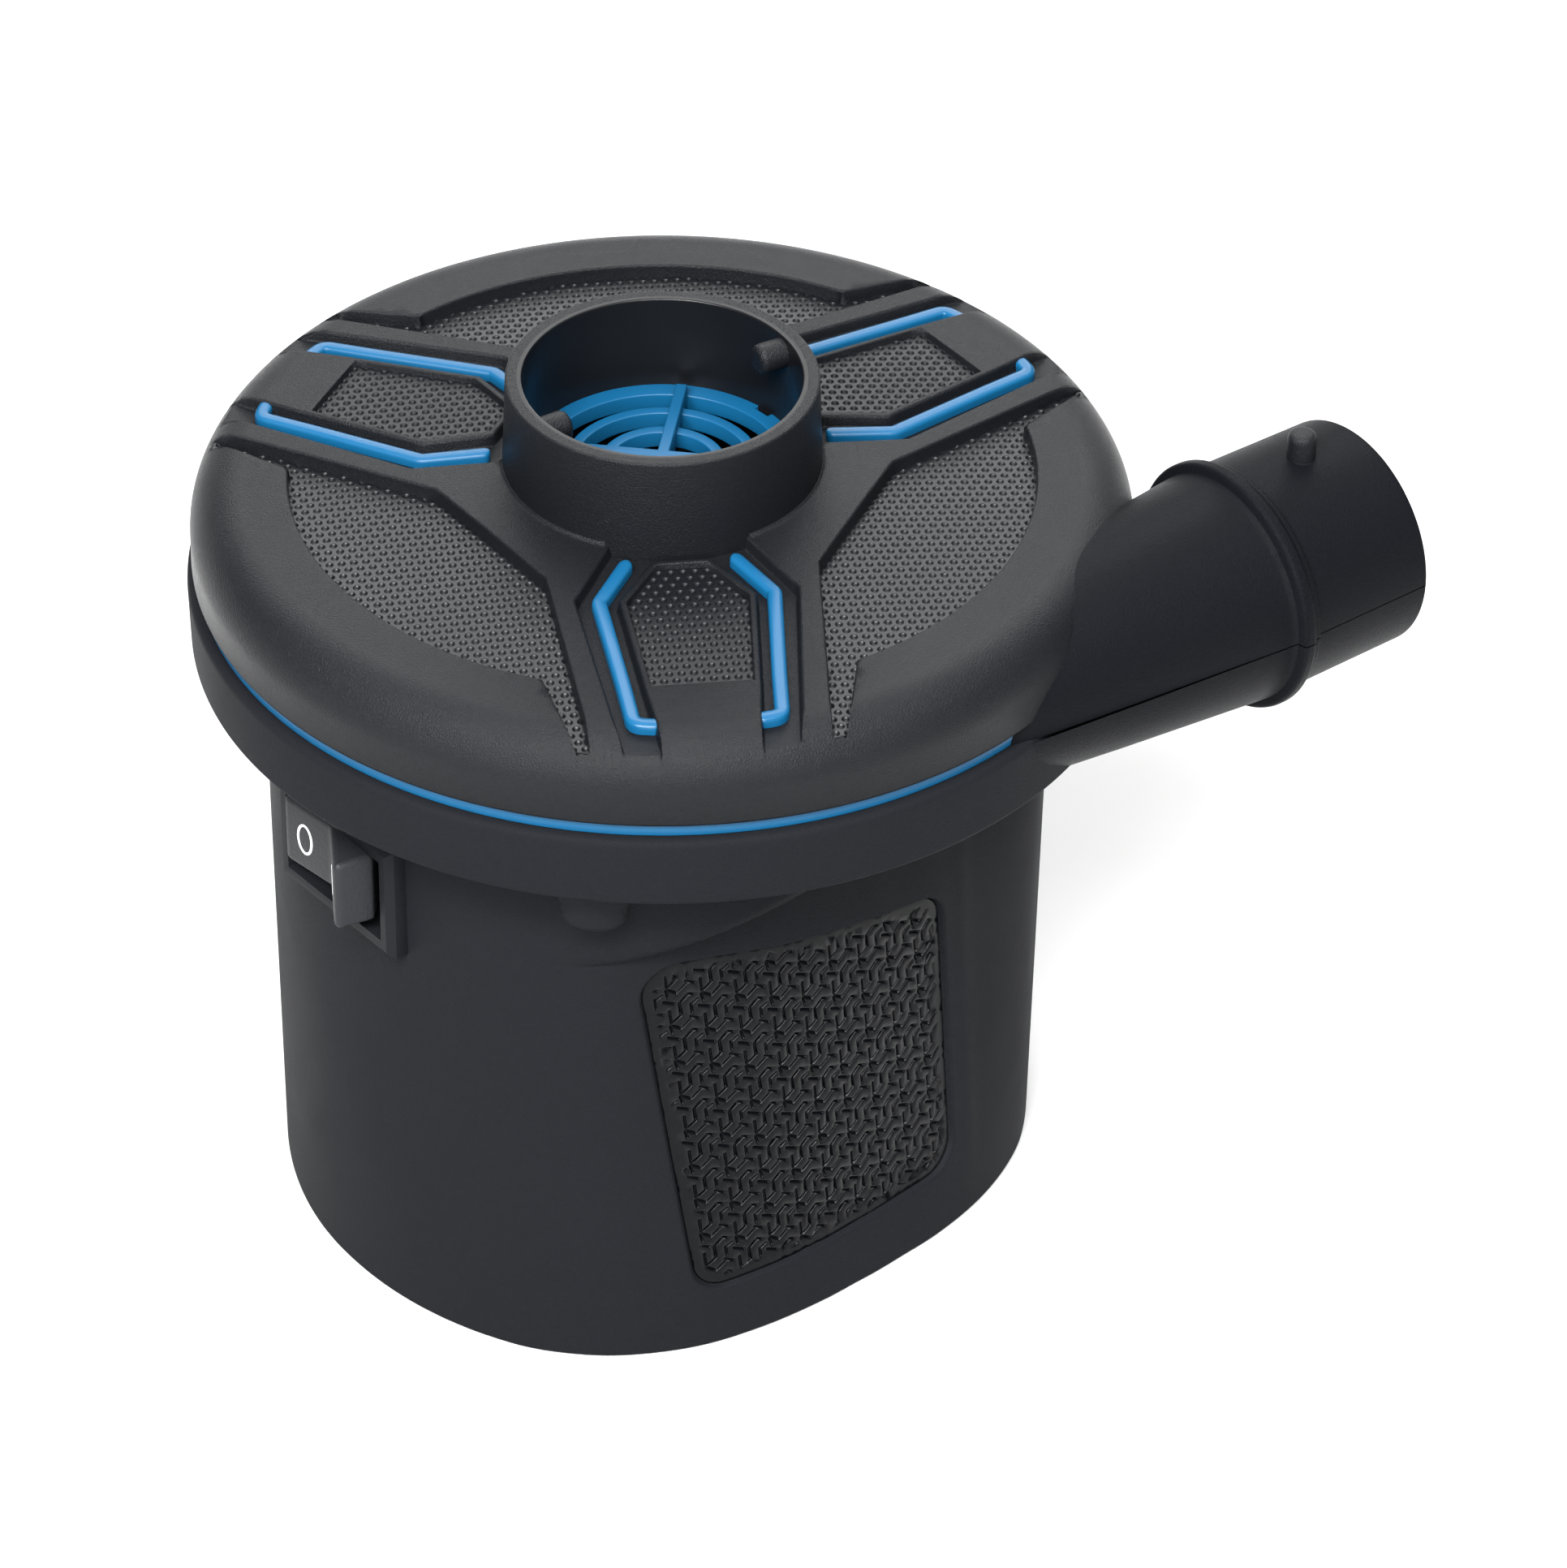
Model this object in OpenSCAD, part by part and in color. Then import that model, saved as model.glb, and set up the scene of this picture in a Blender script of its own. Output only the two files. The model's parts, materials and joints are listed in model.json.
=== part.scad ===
// Electric air pump for pool inflatables: blower with a round inlet collar on top, a side outlet
// nozzle, a rocker switch, grip pads and a rechargeable pack. Millimetres, +Z up, base at z = 0.

/* [Body] */
// Height of the joint between lower casing and top cover above the base
seam_z = 82; // [70:0.5:95]
// Outer radius of the bucket at the base
body_r = 45.9; // [40:0.1:50]
// Growth of the bucket radius from base to flange
body_draft = 0.9; // [0:0.1:2]
// Wall thickness of the lower casing
wall = 2.3; // [1.5:0.1:3.5]
// Outer radius of the rim that carries the top cover
flange_r = 54; // [50:0.1:60]
// Height of that rim
flange_h = 8.7; // [6:0.1:12]
// Distance of the hand-grip faces from the axis at the base
grip_y = 39.3; // [36:0.1:44]
// Inward lean of the hand-grip faces per millimetre of height
grip_lean = 0.03; // [0:0.005:0.08]
// Height where the hand-grip scoop starts under the rim
scoop_z = 65.5; // [58:0.5:70]

/* [Cover] */
// Outer radius of the cover wall
cover_r = 53.4; // [50:0.1:60]
// Height of the shoulder above the joint
cover_h = 11.65; // [9:0.05:15]
// Radius of the rounded shoulder
shoulder_r = 6; // [3:0.5:8]
// Slope of the cover top in degrees
cone_a = 3; // [0:0.5:6]
// Depth of the dimpled pads below the arms
pad_depth = 1.6; // [0.6:0.1:2]
// Depth of the grooves that hold the accent strips
groove_depth = 1.5; // [0.6:0.1:2]
// Height of the coloured ring between cover and rim
trim_h = 1.6; // [0.8:0.1:2.5]

/* [Collar] */
// Outer radius of the inlet collar at its rim
collar_r = 17.62; // [14:0.05:20]
// Inner radius of the inlet collar
collar_ri = 15.7; // [12:0.05:18]
// Rim height of the collar above the joint
collar_h = 24.4; // [18:0.1:30]
// Length of the two bayonet pins inside the collar
pin_len = 3.4; // [2:0.1:5]
// Radius of the bayonet pins
pin_r = 1.75; // [1:0.05:2.5]

/* [Outlet] */
// Distance of the outlet axis from the pump axis
outlet_y = 41.9; // [36:0.1:46]
// Distance of the outlet mouth from the pump axis
outlet_x = 66.9; // [58:0.1:80]
// Outer radius of the outlet tube
outlet_r = 13.3; // [10:0.05:16]
// Inner radius of the outlet tube
outlet_ri = 11.5; // [8:0.05:14]
// Position of the raised bead along the outlet
bead_x = 47.6; // [44:0.1:54]

/* [Switch] */
// Height of the switch centre above the base
switch_z = 60.4; // [55:0.1:66]
// Turn of the switch about the pump axis in degrees
switch_turn = 2.7; // [-5:0.1:5]
// Width of the switch bezel
bezel_w = 21; // [18:0.1:24]
// Height of the switch bezel
bezel_h = 15; // [12:0.1:17]
// Distance of the bezel front from the pump axis
bezel_x = 47.4; // [46.5:0.1:49]
// Slope of the rocker faces in degrees
rocker_a = 20; // [10:1:24]
// Rocker swing either side of its middle position in degrees
rocker_swing = 14; // [8:1:16]

/* [Blower] */
// Outer radius of the impeller
impeller_r = 36; // [28:0.5:39]
// Number of impeller blades
blades = 9; // [6:1:14]
// Height of the impeller blades
blade_h = 12; // [8:0.5:14]

/* [Motor] */
// Outer radius of the motor can
motor_r = 17.9; // [13:0.1:18.2]
// Length of the motor can
motor_l = 46; // [34:0.5:48]
// Radius of the motor shaft
shaft_r = 1.58; // [1:0.01:2.5]

/* [Battery] */
// Radius of one battery cell
cell_r = 10.9; // [8:0.1:11.2]
// Length of one battery cell
cell_l = 43; // [30:0.5:46]
// Height of the charging socket above the base
jack_z = 56; // [53:0.5:62]

/* [Hidden] */
$fn = 96;
e = 0.01;
gap = 0.05;
floor_t = 2.4;
charcoal = [0.16, 0.165, 0.175];
black = [0.09, 0.09, 0.1];
blue = [0.1, 0.46, 0.72];
steel = [0.7, 0.7, 0.72];
brass = [0.8, 0.65, 0.3];

under_z = seam_z - flange_h;
deck_top = seam_z - 12.4;
deck_t = 2.2;
spigot_r = 51.2;
ceiling_z = seam_z + 8.6;
collar_z = seam_z + collar_h;
foot_r = collar_r + 0.43;
grille_z = seam_z + 12.8;
boss_pitch = 47.8;
boss_r = 3.9;
boss_a = [45, 135, 225, 315];
post_xy = [14, 29.6];
cell_xy = [29.2, 11.2];
cell_z = 4.6;
side_cx = 6.8;
side_r = body_r - 7.2;
crown_r = 115;
crown_cx = -4;
corner_r = 60;
face_x = body_r + 0.2;
motor_top = deck_top - deck_t;
motor_bot = motor_top - motor_l;
cap_t = 5;
imp_z = deck_top + 2.2;
shaft_top = imp_z + 12.5;
pivot_v = -1.5;
rocker_w = 7.6;
rocker_t = 10.4;
open_w = 8.7;
open_h = 11;
cell_dirs = [[1, 1], [1, -1], [-1, 1], [-1, -1]];

function arc(cx, cy, r, a0, a1, n = 8) =
    [for (i = [0:n]) let (a = a0 + (a1 - a0) * i / n) [cx + r * cos(a), cy + r * sin(a)]];
function unit(v) = v / norm(v);
// corners of a closed outline replaced by arcs of radius r
function rounded(p, r, n = 6) = [for (i = [0:len(p) - 1])
    let (a = unit(p[(i + len(p) - 1) % len(p)] - p[i]), b = unit(p[(i + 1) % len(p)] - p[i]),
         h = acos(a * b) / 2, m = unit(a + b), c = p[i] + m * r / sin(h),
         s = sign(a[0] * b[1] - a[1] * b[0]), w = 90 - h, m0 = atan2(-m[1], -m[0]))
        for (k = [0:n]) c + r * [cos(m0 + s * w * (1 - 2 * k / n)), sin(m0 + s * w * (1 - 2 * k / n))]];
function top_z(r) = seam_z + cover_h + (cover_r - shoulder_r - r) * tan(cone_a);

// cone frustum about z with a small chamfer at the foot
module limiter(r0, r1, z0, z1, foot = 0) {
    rotate_extrude() polygon([[0, z0], [r0 - foot, z0], [r0, z0 + foot * 1.2], [r1, z1], [0, z1]]);
}

// mirrored copy on the other side of the XZ plane
module both_y() { children(); mirror([0, 1, 0]) children(); }

// bucket of the lower casing, shrunk by off, between z0 and z1
module bucket(off, z0, z1, foot = 0) {
    grow = body_draft * (z1 - z0) / (under_z);
    difference() {
        intersection() {
            limiter(body_r - off, body_r - off + grow, z0, z1, foot);
            corner_limits(corner_r - off, corner_r - off + grow, z0, z1, foot);
        }
        both_y() difference() {
            scoop_wedge(off, z0);
            grip_body(off, z0, z1, foot);
        }
    }
}

// four shallow arcs that soften the corners of the bucket
module corner_limits(r0, r1, z0, z1, foot) {
    intersection_for (c = [[126, 44.35], [-126, 44.35], [39, 44.2], [-39, 44.2]])
        rotate([0, 0, c[0]]) translate([c[1] - corner_r, 0, 0]) limiter(r0, r1, z0, z1, foot);
}

// space under the brow of the hand grip
module scoop_wedge(off, z0) {
    top = scoop_z + off * 1.2;
    translate([-50, 0, 0]) rotate([90, 0, 90]) linear_extrude(100)
        polygon([[-70, z0 - 1], [-70, top + 0.65 * 23.7], [-20, top - 0.65 * 26.3], [-20, z0 - 1]]);
}

// solid that the scoop leaves standing on the -Y side
module grip_body(off, z0, z1, foot) {
    intersection() {
        crown_solid(off, z0, z1, foot);
        union() {
            translate([side_cx, 0, 0])
                limiter(side_r - off, side_r - off + body_draft * (z1 - z0) / under_z, z0, z1, foot);
            translate([side_cx - 80, -80, z0 - 1]) cube([80, 160, z1 - z0 + 2]);
        }
    }
}

// crowned, leaning face of one hand grip (-Y side), shrunk by off
module crown_solid(off, z0, z1, foot = 0) {
    translate([crown_cx, crown_r - grip_y, 0])
        limiter(crown_r - off - grip_lean * z0, crown_r - off - grip_lean * z1, z0, z1, foot);
}

// outline of the grip pad in the XZ plane
pad_outline = [[-29, 57.5], [-22.1, 7.9], [15.7, 9.2], [13.15, 50.1]];

// layer of the grip face between two depths, cut to the pad outline grown by g
module grip_layer(d0, d1, g) {
    c = [-6, 32];
    grown = [for (p = pad_outline) p + g * [sign(p[0] - c[0]), sign(p[1] - c[1])]];
    intersection() {
        difference() {
            crown_solid(d0, 1, 75);
            crown_solid(d1, 0, 76);
        }
        translate([0, -25, 0]) rotate([90, 0, 0]) linear_extrude(30) polygon(rounded(grown, 4 + g));
    }
}

// outer form of the outlet: cone neck, tube and bead
module outlet_outer() {
    translate([0, -outlet_y, seam_z]) rotate([0, 90, 0]) {
        translate([0, 0, -4]) cylinder(h = 52, r1 = 10.4, r2 = outlet_r + 0.2);
        translate([0, 0, 47]) cylinder(h = outlet_x - 47, r1 = outlet_r + 0.2, r2 = outlet_r - 0.2);
        rotate_extrude() polygon([[12, bead_x], [outlet_r + 1.1, bead_x], [outlet_r + 1.5, bead_x + 0.5],
            [outlet_r + 1.5, bead_x + 2.1], [outlet_r + 1.1, bead_x + 2.7], [12, bead_x + 2.7]]);
    }
}

module outlet_bore() {
    translate([0, -outlet_y, seam_z]) rotate([0, 90, 0]) {
        translate([0, 0, -14]) cylinder(h = 62, r1 = 8.6, r2 = outlet_ri);
        translate([0, 0, 46]) cylinder(h = outlet_x - 45, r = outlet_ri);
    }
}

// half space above or below the joint
module above(z) { translate([-120, -120, z]) cube([240, 240, 120]); }
module below(z) { translate([-120, -120, z - 120]) cube([240, 240, 120]); }

// copies on the three spokes of the cover
module spokes() { for (a = [0, 120, 240]) rotate([0, 0, a]) children(); }

// outline of half a spoke between |y| = 0 and the groove
island = [[19.5, 0], [19.5, 3.3], [26.2, 7.6], [42.3, 6.3], [51, 5.35], [56, 4.9], [56, 0]];
arm_in = [[16, 7.4], [25.5, 12.3], [51, 9.7], [56, 9.2]];
arm_out = [[13, 8.4], [21.1, 15.2], [50, 13.05], [56, 12.6]];
channel = [[38.4, 17.2], [50, 14.65], [56, 13.4]];

// groove of a spoke that holds the accent strips
module groove_2d() {
    difference() {
        polygon(concat([[12, 0], [12, 6]], arm_in, [[56, 0]]));
        polygon(island);
    }
}

// dimpled pad inside the island
module island_pad_2d() {
    polygon([[20.2, 0], [20.2, 2.9], [26.4, 6.9], [41, 5.75], [41, 0]]);
}

// dimpled field between one arm and the next, half of it
module field_2d() {
    intersection() {
        polygon(concat([[21.1, 15.2]], [[50, 13.05], [56, 12.6], [56, 13.4], [50, 14.65], [38.4, 17.2]],
            arc(0, 0, 42.2, 24.1, 60.3, 8), [[11.75, 20.6]]));
        circle(r = 60);
    }
}

// thin coloured bar in each groove
strip_path = [[19.5, 6.3], [25.5, 9.7], [40, 8.5], [46.3, 8.1], [46.8, 6.6]];
module strip_2d(w) {
    for (i = [0:len(strip_path) - 2]) let (a = strip_path[i], b = strip_path[i + 1], d = b - a)
        translate(a) rotate(atan2(d[1], d[0])) translate([0, -w / 2]) square([norm(d), w]);
    for (p = strip_path) translate(p) circle(r = w / 2, $fn = 24);
}

// space above the cover top lowered by d
module above_top(d) {
    rotate_extrude() polygon([[0, top_z(0) - d], [60, top_z(60) - d], [60, seam_z + 40], [0, seam_z + 40]]);
}

// recess of depth d with the outline given as children, on both sides of every spoke
module recess(d) {
    intersection() {
        above_top(d);
        spokes() both_y() linear_extrude(200) children();
    }
}

module top_cover() {
    c = cover_r - shoulder_r;
    color(charcoal) difference() {
        union() {
            difference() {
                rotate_extrude() polygon(concat(
                    [[48.8, seam_z - 2.4], [spigot_r, seam_z - 2.4], [spigot_r, seam_z + trim_h + gap],
                     [cover_r, seam_z + trim_h + gap]],
                    arc(c, seam_z + cover_h - shoulder_r, shoulder_r, 0, 87, 8),
                    [[foot_r, top_z(foot_r)], [foot_r, ceiling_z], [45.5, ceiling_z], [48.8, ceiling_z - 3.6]]));
                recess(groove_depth) groove_2d();
                recess(0.7) island_pad_2d();
                recess(pad_depth) field_2d();
            }
            // upper half of the outlet outside the blower chamber
            difference() {
                intersection() { outlet_outer(); above(seam_z + gap); }
                cylinder(h = 200, r = 49.4);
                // room for the coloured ring beside the neck
                translate([-10, -60, seam_z]) cube([19.4, 60, trim_h + gap]);
            }
            translate([58.6, -outlet_y, seam_z + outlet_r - 1]) bayonet_pin(4.9, 1.7);
            for (a = boss_a) rotate([0, 0, a]) translate([boss_pitch, 0, seam_z - 2.4])
                cylinder(h = ceiling_z - seam_z + 3.4, r = 3.3);
        }
        outlet_bore();
        for (a = boss_a) rotate([0, 0, a]) translate([boss_pitch, 0, seam_z - 3]) cylinder(h = 9.4, r = 1.55);
    }
}

// collar with its flange under the cover, the seat of the grille and two bayonet pins
module inlet_collar() {
    r = foot_r - 0.02;
    color(charcoal) {
        difference() {
            rotate_extrude() polygon([[collar_ri, ceiling_z - 1.2], [19.5, ceiling_z - 1.2], [19.5, ceiling_z - 0.02],
                [r, ceiling_z - 0.02], [r, top_z(r)], [collar_r, collar_z - 0.4], [collar_r - 0.4, collar_z],
                [collar_ri + 0.3, collar_z], [collar_ri, collar_z - 0.3]]);
            translate([0, 0, grille_z - 2.1]) cylinder(h = 2.1, r = collar_ri + 0.6);
        }
        for (s = [1, -1]) rotate([0, 0, -5]) translate([s * (collar_ri + 0.4), 0, collar_z - 2.2])
            rotate([0, -90 * s, 0]) bayonet_pin(pin_len + 0.4, pin_r);
    }
}

module bayonet_pin(l, r) {
    cylinder(h = l - 0.6, r = r);
    translate([0, 0, l - 0.6 - e]) cylinder(h = 0.6 + e, r1 = r, r2 = r - 0.55);
}

module trim_ring() {
    color(blue) difference() {
        translate([0, 0, seam_z + gap / 2]) cylinder(h = trim_h, r = cover_r - 1.2);
        translate([0, 0, seam_z - 1]) cylinder(h = trim_h + 2, r = spigot_r + gap);
        translate([0, 0, seam_z - 1]) linear_extrude(trim_h + 2)
            polygon([[0, 0], 90 * [cos(-79), sin(-79)], [90, -90], 90 * [cos(-31), sin(-31)]]);
    }
}

module accent_strips() {
    color(blue) difference() {
        recess(groove_depth) strip_2d(1.7);
        above_top(0.2);
    }
}

module inlet_grille() {
    color(blue) translate([0, 0, grille_z - 2]) {
        linear_extrude(2) difference() {
            circle(r = collar_ri + 0.55);
            circle(r = 13.6);
            rotate(6) translate([15.1, -1.1]) square([3, 2.2]);
        }
        for (r = [11.1, 7.2]) linear_extrude(2) difference() { circle(r = r); circle(r = r - 1.3); }
        linear_extrude(2) circle(r = 2);
        for (a = [45, 135]) rotate([0, 0, a]) {
            translate([-14.2, -0.65, 0]) cube([28.4, 1.3, 3.2]);
        }
    }
}

module body_shell() {
    inner = flange_r - 2.7;
    color(charcoal) difference() {
        union() {
            bucket(0, 0, under_z + 2, 1);
            rotate_extrude() polygon([[40, under_z], [flange_r - 0.8, under_z], [flange_r - 0.2, under_z + 0.6],
                [flange_r, seam_z - 0.4], [flange_r - 0.4, seam_z], [40, seam_z]]);
            intersection() { outlet_outer(); below(seam_z); above(seam_z - 16); }
            for (a = boss_a) rotate([0, 0, a]) translate([boss_pitch, 0, under_z - 4.2]) {
                cylinder(h = 8, r = boss_r);
                translate([0, 0, -0.9]) cylinder(h = 0.9 + e, r1 = boss_r - 0.9, r2 = boss_r);
            }
            outlet_lower_pin();
        }
        translate([0, 0, under_z + wall]) cylinder(h = 20, r = inner);
        bucket(wall, floor_t, under_z + 8);
        outlet_bore();
        for (a = boss_a) rotate([0, 0, a]) translate([boss_pitch, 0, 0]) {
            cylinder(h = 200, r = 1.6);
            cylinder(h = under_z - 1.6, r = 3.05);
        }
        grip_layer(-1, 1.2, 0.15);
        mirror([0, 1, 0]) grip_layer(-1, 1.2, 0.15);
        switch_frame() {
            translate([-3, -bezel_w / 2 - 0.15, -bezel_h / 2 - 0.15]) cube([10, bezel_w + 0.3, bezel_h + 0.3]);
            translate([-10, -9.6, -6.5]) cube([20, 19.2, 13]);
        }
        translate([face_x - 0.3, 0, jack_z]) rotate([0, 90, 0]) {
            cylinder(h = 10, r = 5.7);
            translate([0, 0, -10]) cylinder(h = 12, r = 4.05);
        }
        translate([30, 11, jack_z]) rotate([0, 90, 0]) cylinder(h = 20, r = 1.55);
        // window where the blower chamber meets the outlet
        intersection() {
            translate([-14, -outlet_y - 8, seam_z - 9]) cube([50, 20, 12]);
            cylinder(h = 200, r = 50);
        }
    }
    // posts for the deck, the board and the motor
    color(charcoal) {
        for (d = cell_dirs) translate([d[0] * post_xy[0], d[1] * post_xy[1], floor_t - e]) difference() {
            cylinder(h = motor_top - floor_t, r = 3);
            translate([0, 0, motor_top - floor_t - 10]) cylinder(h = 12, r = 1.3);
        }
        for (s = [1, -1]) translate([0, s * 22, floor_t - e]) difference() {
            cylinder(h = 3.2, r = 2.6);
            translate([0, 0, 0.6]) cylinder(h = 4, r = 1.05);
        }
    }
}

module outlet_lower_pin() {
    translate([58.6, -outlet_y, seam_z - outlet_r + 1]) mirror([0, 0, 1]) bayonet_pin(4.9, 1.7);
}

module grip_pad_front() {
    color(black) grip_layer(0.5, 1.15, 0);
}

module grip_pad_rear() {
    color(black) mirror([0, 1, 0]) grip_layer(0.5, 1.15, 0);
}

// deck under the impeller with the scroll wall around it
module fan_deck() {
    color(black) difference() {
        union() {
            intersection() {
                union() {
                    translate([0, 0, deck_top - deck_t]) cylinder(h = deck_t, r = 43.9);
                    translate([0, 0, deck_top - e]) difference() {
                        cylinder(h = under_z + wall - deck_top + 2, r = 43.6);
                        translate([0, 0, -1]) cylinder(h = 40, r = 42.2);
                    }
                }
                bucket(wall + 0.3, 60, 82);
            }
            translate([0, 0, under_z + wall + gap]) difference() {
                cylinder(h = ceiling_z - under_z - wall - 0.3, r = 43.6);
                translate([0, 0, -1]) cylinder(h = 40, r = 42.2);
            }
            translate([0, 0, under_z + wall + gap]) difference() {
                cylinder(h = 1.4, r = 43.6);
                translate([0, 0, -1]) cylinder(h = 4, r = 40);
            }
        }
        outlet_bore();
        translate([-12, -70, deck_top + 0.5]) cube([60, 42, 40]);
        translate([0, 0, deck_top - 10]) cylinder(h = 20, r = 6.1);
        for (a = [0, 180]) rotate([0, 0, a]) translate([12.5, 0, deck_top - 10]) cylinder(h = 20, r = 1.6);
        for (d = cell_dirs) translate([d[0] * post_xy[0], d[1] * post_xy[1], deck_top - 10]) cylinder(h = 20, r = 1.6);
    }
}

module impeller() {
    color(charcoal) translate([0, 0, imp_z]) difference() {
        union() {
            cylinder(h = 1.6, r = impeller_r);
            cylinder(h = 10, r = 5.2);
            translate([0, 0, 1.5]) cylinder(h = 3, r1 = 12, r2 = 5.2);
            for (i = [0:blades - 1]) rotate([0, 0, i * 360 / blades]) translate([0, 0, 1.5])
                linear_extrude(blade_h - 1.5) blade_2d();
        }
        translate([0, 0, -1]) cylinder(h = 20, r = shaft_r + 0.02);
        translate([0, 0, 9.6]) cylinder(h = 20, r = 3.6);
    }
}

// one backward-curved blade
module blade_2d() {
    intersection() {
        difference() {
            translate([15, -21]) circle(r = 24);
            translate([15, -21]) circle(r = 22.7);
        }
        difference() { circle(r = impeller_r - 0.4); circle(r = 11); }
        translate([9, -10]) square([40, 30]);
    }
}

module impeller_nut() {
    color(steel) translate([0, 0, imp_z + 9.6 + e]) difference() {
        cylinder(h = 2.4, r = 3.1, $fn = 6);
        translate([0, 0, -1]) cylinder(h = 5, r = shaft_r + 0.02);
    }
}

module motor_can() {
    color(steel) translate([0, 0, motor_bot]) difference() {
        union() {
            cylinder(h = motor_l - 1.2, r = motor_r);
            translate([0, 0, motor_l - 1.2 - e]) cylinder(h = 1.2, r1 = motor_r, r2 = motor_r - 0.9);
            translate([0, 0, motor_l - 2]) cylinder(h = 4.4, r = 5.9);
        }
        translate([0, 0, -1]) cylinder(h = motor_l - 0.6, r = motor_r - 1.5);
        translate([0, 0, 10]) cylinder(h = motor_l, r = 4.02);
        for (a = [0, 180]) rotate([0, 0, a]) translate([12.5, 0, motor_l - 4]) cylinder(h = 10, r = 1.25);
    }
}

module motor_magnets() {
    color([0.2, 0.2, 0.22]) for (a = [0, 180]) rotate([0, 0, a]) translate([0, 0, motor_bot + 8])
        linear_extrude(motor_l - 14) difference() {
            circle(r = motor_r - 1.52);
            circle(r = motor_r - 5);
            polygon([[0, 0], [60, 42], [-60, 42]]);
            polygon([[0, 0], [60, -42], [-60, -42]]);
            translate([-60, -60]) square([60, 120]);
        }
}

module motor_end_cap() {
    color([0.85, 0.83, 0.78]) difference() {
        translate([0, 0, motor_bot - 2]) cylinder(h = cap_t, r = motor_r - 1.54);
        translate([0, 0, motor_bot - 3]) cylinder(h = 10, r = 4.02);
        translate([0, 0, motor_bot + 1]) cylinder(h = 10, r = 11);
        for (s = [1, -1]) translate([s * 13.6, 0, motor_bot - 4]) cylinder(h = 8, r = 0.85);
    }
}

module motor_bushings() {
    color(brass) for (z = [motor_top - 3, motor_bot - 1.9]) translate([0, 0, z]) difference() {
        cylinder(h = z > motor_bot ? 5.2 : 2.9, r = 4);
        translate([0, 0, -1]) cylinder(h = 8, r = shaft_r + 0.03);
    }
}

module motor_brushes() {
    color([0.15, 0.15, 0.15]) for (a = [0, 180]) rotate([0, 0, a])
        translate([4.62, -1.5, motor_bot + 3.6]) cube([6, 3, 3]);
}

module motor_shaft() {
    color(steel) translate([0, 0, motor_bot - 0.5]) cylinder(h = shaft_top - motor_bot + 0.5, r = shaft_r);
}

// laminated core with five poles between two rings of end windings
module armature() {
    r = motor_r - 5.6;
    color([0.55, 0.3, 0.15]) translate([0, 0, motor_bot + 11]) difference() {
        union() {
            linear_extrude(25) {
                circle(r = 5);
                for (a = [0:72:288]) rotate(a) {
                    translate([3, -1.6]) square([r - 3.6, 3.2]);
                    intersection() {
                        polygon([[r - 2, -6.3], [r + 2, -8], [r + 2, 8], [r - 2, 6.3]]);
                        circle(r = r);
                    }
                }
            }
            for (z = [-1.4, 24]) translate([0, 0, z]) cylinder(h = 4, r = 9.4);
        }
        translate([0, 0, -9]) cylinder(h = 60, r = shaft_r + 0.01);
    }
}

module commutator() {
    color([0.75, 0.42, 0.25]) translate([0, 0, motor_bot + 2]) difference() {
        union() {
            cylinder(h = 7, r = 4.3);
            translate([0, 0, 6]) cylinder(h = 1.2, r = 5.2);
        }
        translate([0, 0, -1]) cylinder(h = 12, r = shaft_r + 0.01);
        for (a = [0:72:288]) rotate([0, 0, a]) translate([3.3, -0.2, -1]) cube([3, 0.4, 6.2]);
    }
}

// pan-head screw standing on its tip, head underside at z = l
module screw(l, r, head_r, head_h) {
    difference() {
        union() {
            cylinder(h = l, r = r);
            translate([0, 0, l - e]) cylinder(h = head_h, r = head_r);
        }
        for (a = [0, 90]) rotate([0, 0, a]) translate([-head_r * 0.55, -0.4, l + head_h - 0.9])
            cube([head_r * 1.1, 0.8, 2]);
    }
}

module motor_screws() {
    color(steel) for (a = [0, 180]) rotate([0, 0, a]) translate([12.5, 0, deck_top - 5]) screw(5 + e, 1.2, 2.2, 1.3);
}

module deck_screws() {
    color(steel) for (d = cell_dirs) translate([d[0] * post_xy[0], d[1] * post_xy[1], deck_top - 9])
        screw(9 + e, 1.25, 2.5, 1.4);
}

module cover_screws() {
    color(steel) for (a = boss_a) rotate([0, 0, a]) translate([boss_pitch, 0, seam_z + 5])
        mirror([0, 0, 1]) screw(seam_z + 5 - under_z + 1.62, 1.5, 2.9, 2);
}

module battery_cells() {
    color([0.2, 0.55, 0.3]) for (d = cell_dirs) translate([d[0] * cell_xy[0], d[1] * cell_xy[1], cell_z]) {
        cylinder(h = cell_l - 1.5, r = cell_r);
        translate([0, 0, cell_l - 1.6]) cylinder(h = 0.6, r1 = cell_r, r2 = cell_r - 0.8);
        translate([0, 0, cell_l - 1.1]) cylinder(h = 1.1, r = 4.6);
    }
}

module cell_links() {
    color(steel) for (s = [1, -1]) translate([s * cell_xy[0] - 3, -cell_xy[1] - 4, cell_z + cell_l])
        cube([6, 2 * cell_xy[1] + 8, 0.4]);
}

// plate on four legs that keeps the cells upright round the motor
module battery_cradle() {
    color(black) {
        translate([0, 0, 34]) difference() {
            intersection() {
                translate([0, 0, -34]) bucket(wall + 0.5, 20, 60);
                translate([-60, -25, 0]) cube([120, 50, 2.5]);
            }
            translate([0, 0, -1]) cylinder(h = 5, r = motor_r + 0.35);
            translate([-22, -4.6, -1]) cube([6, 7.6, 5]);
            for (d = cell_dirs) translate([d[0] * cell_xy[0], d[1] * cell_xy[1], -1]) cylinder(h = 5, r = cell_r + 0.1);
        }
        for (d = cell_dirs) translate([d[0] * 20.5, d[1] * 22, floor_t]) cylinder(h = 34 - floor_t + 1, r = 1.9);
    }
}

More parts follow.
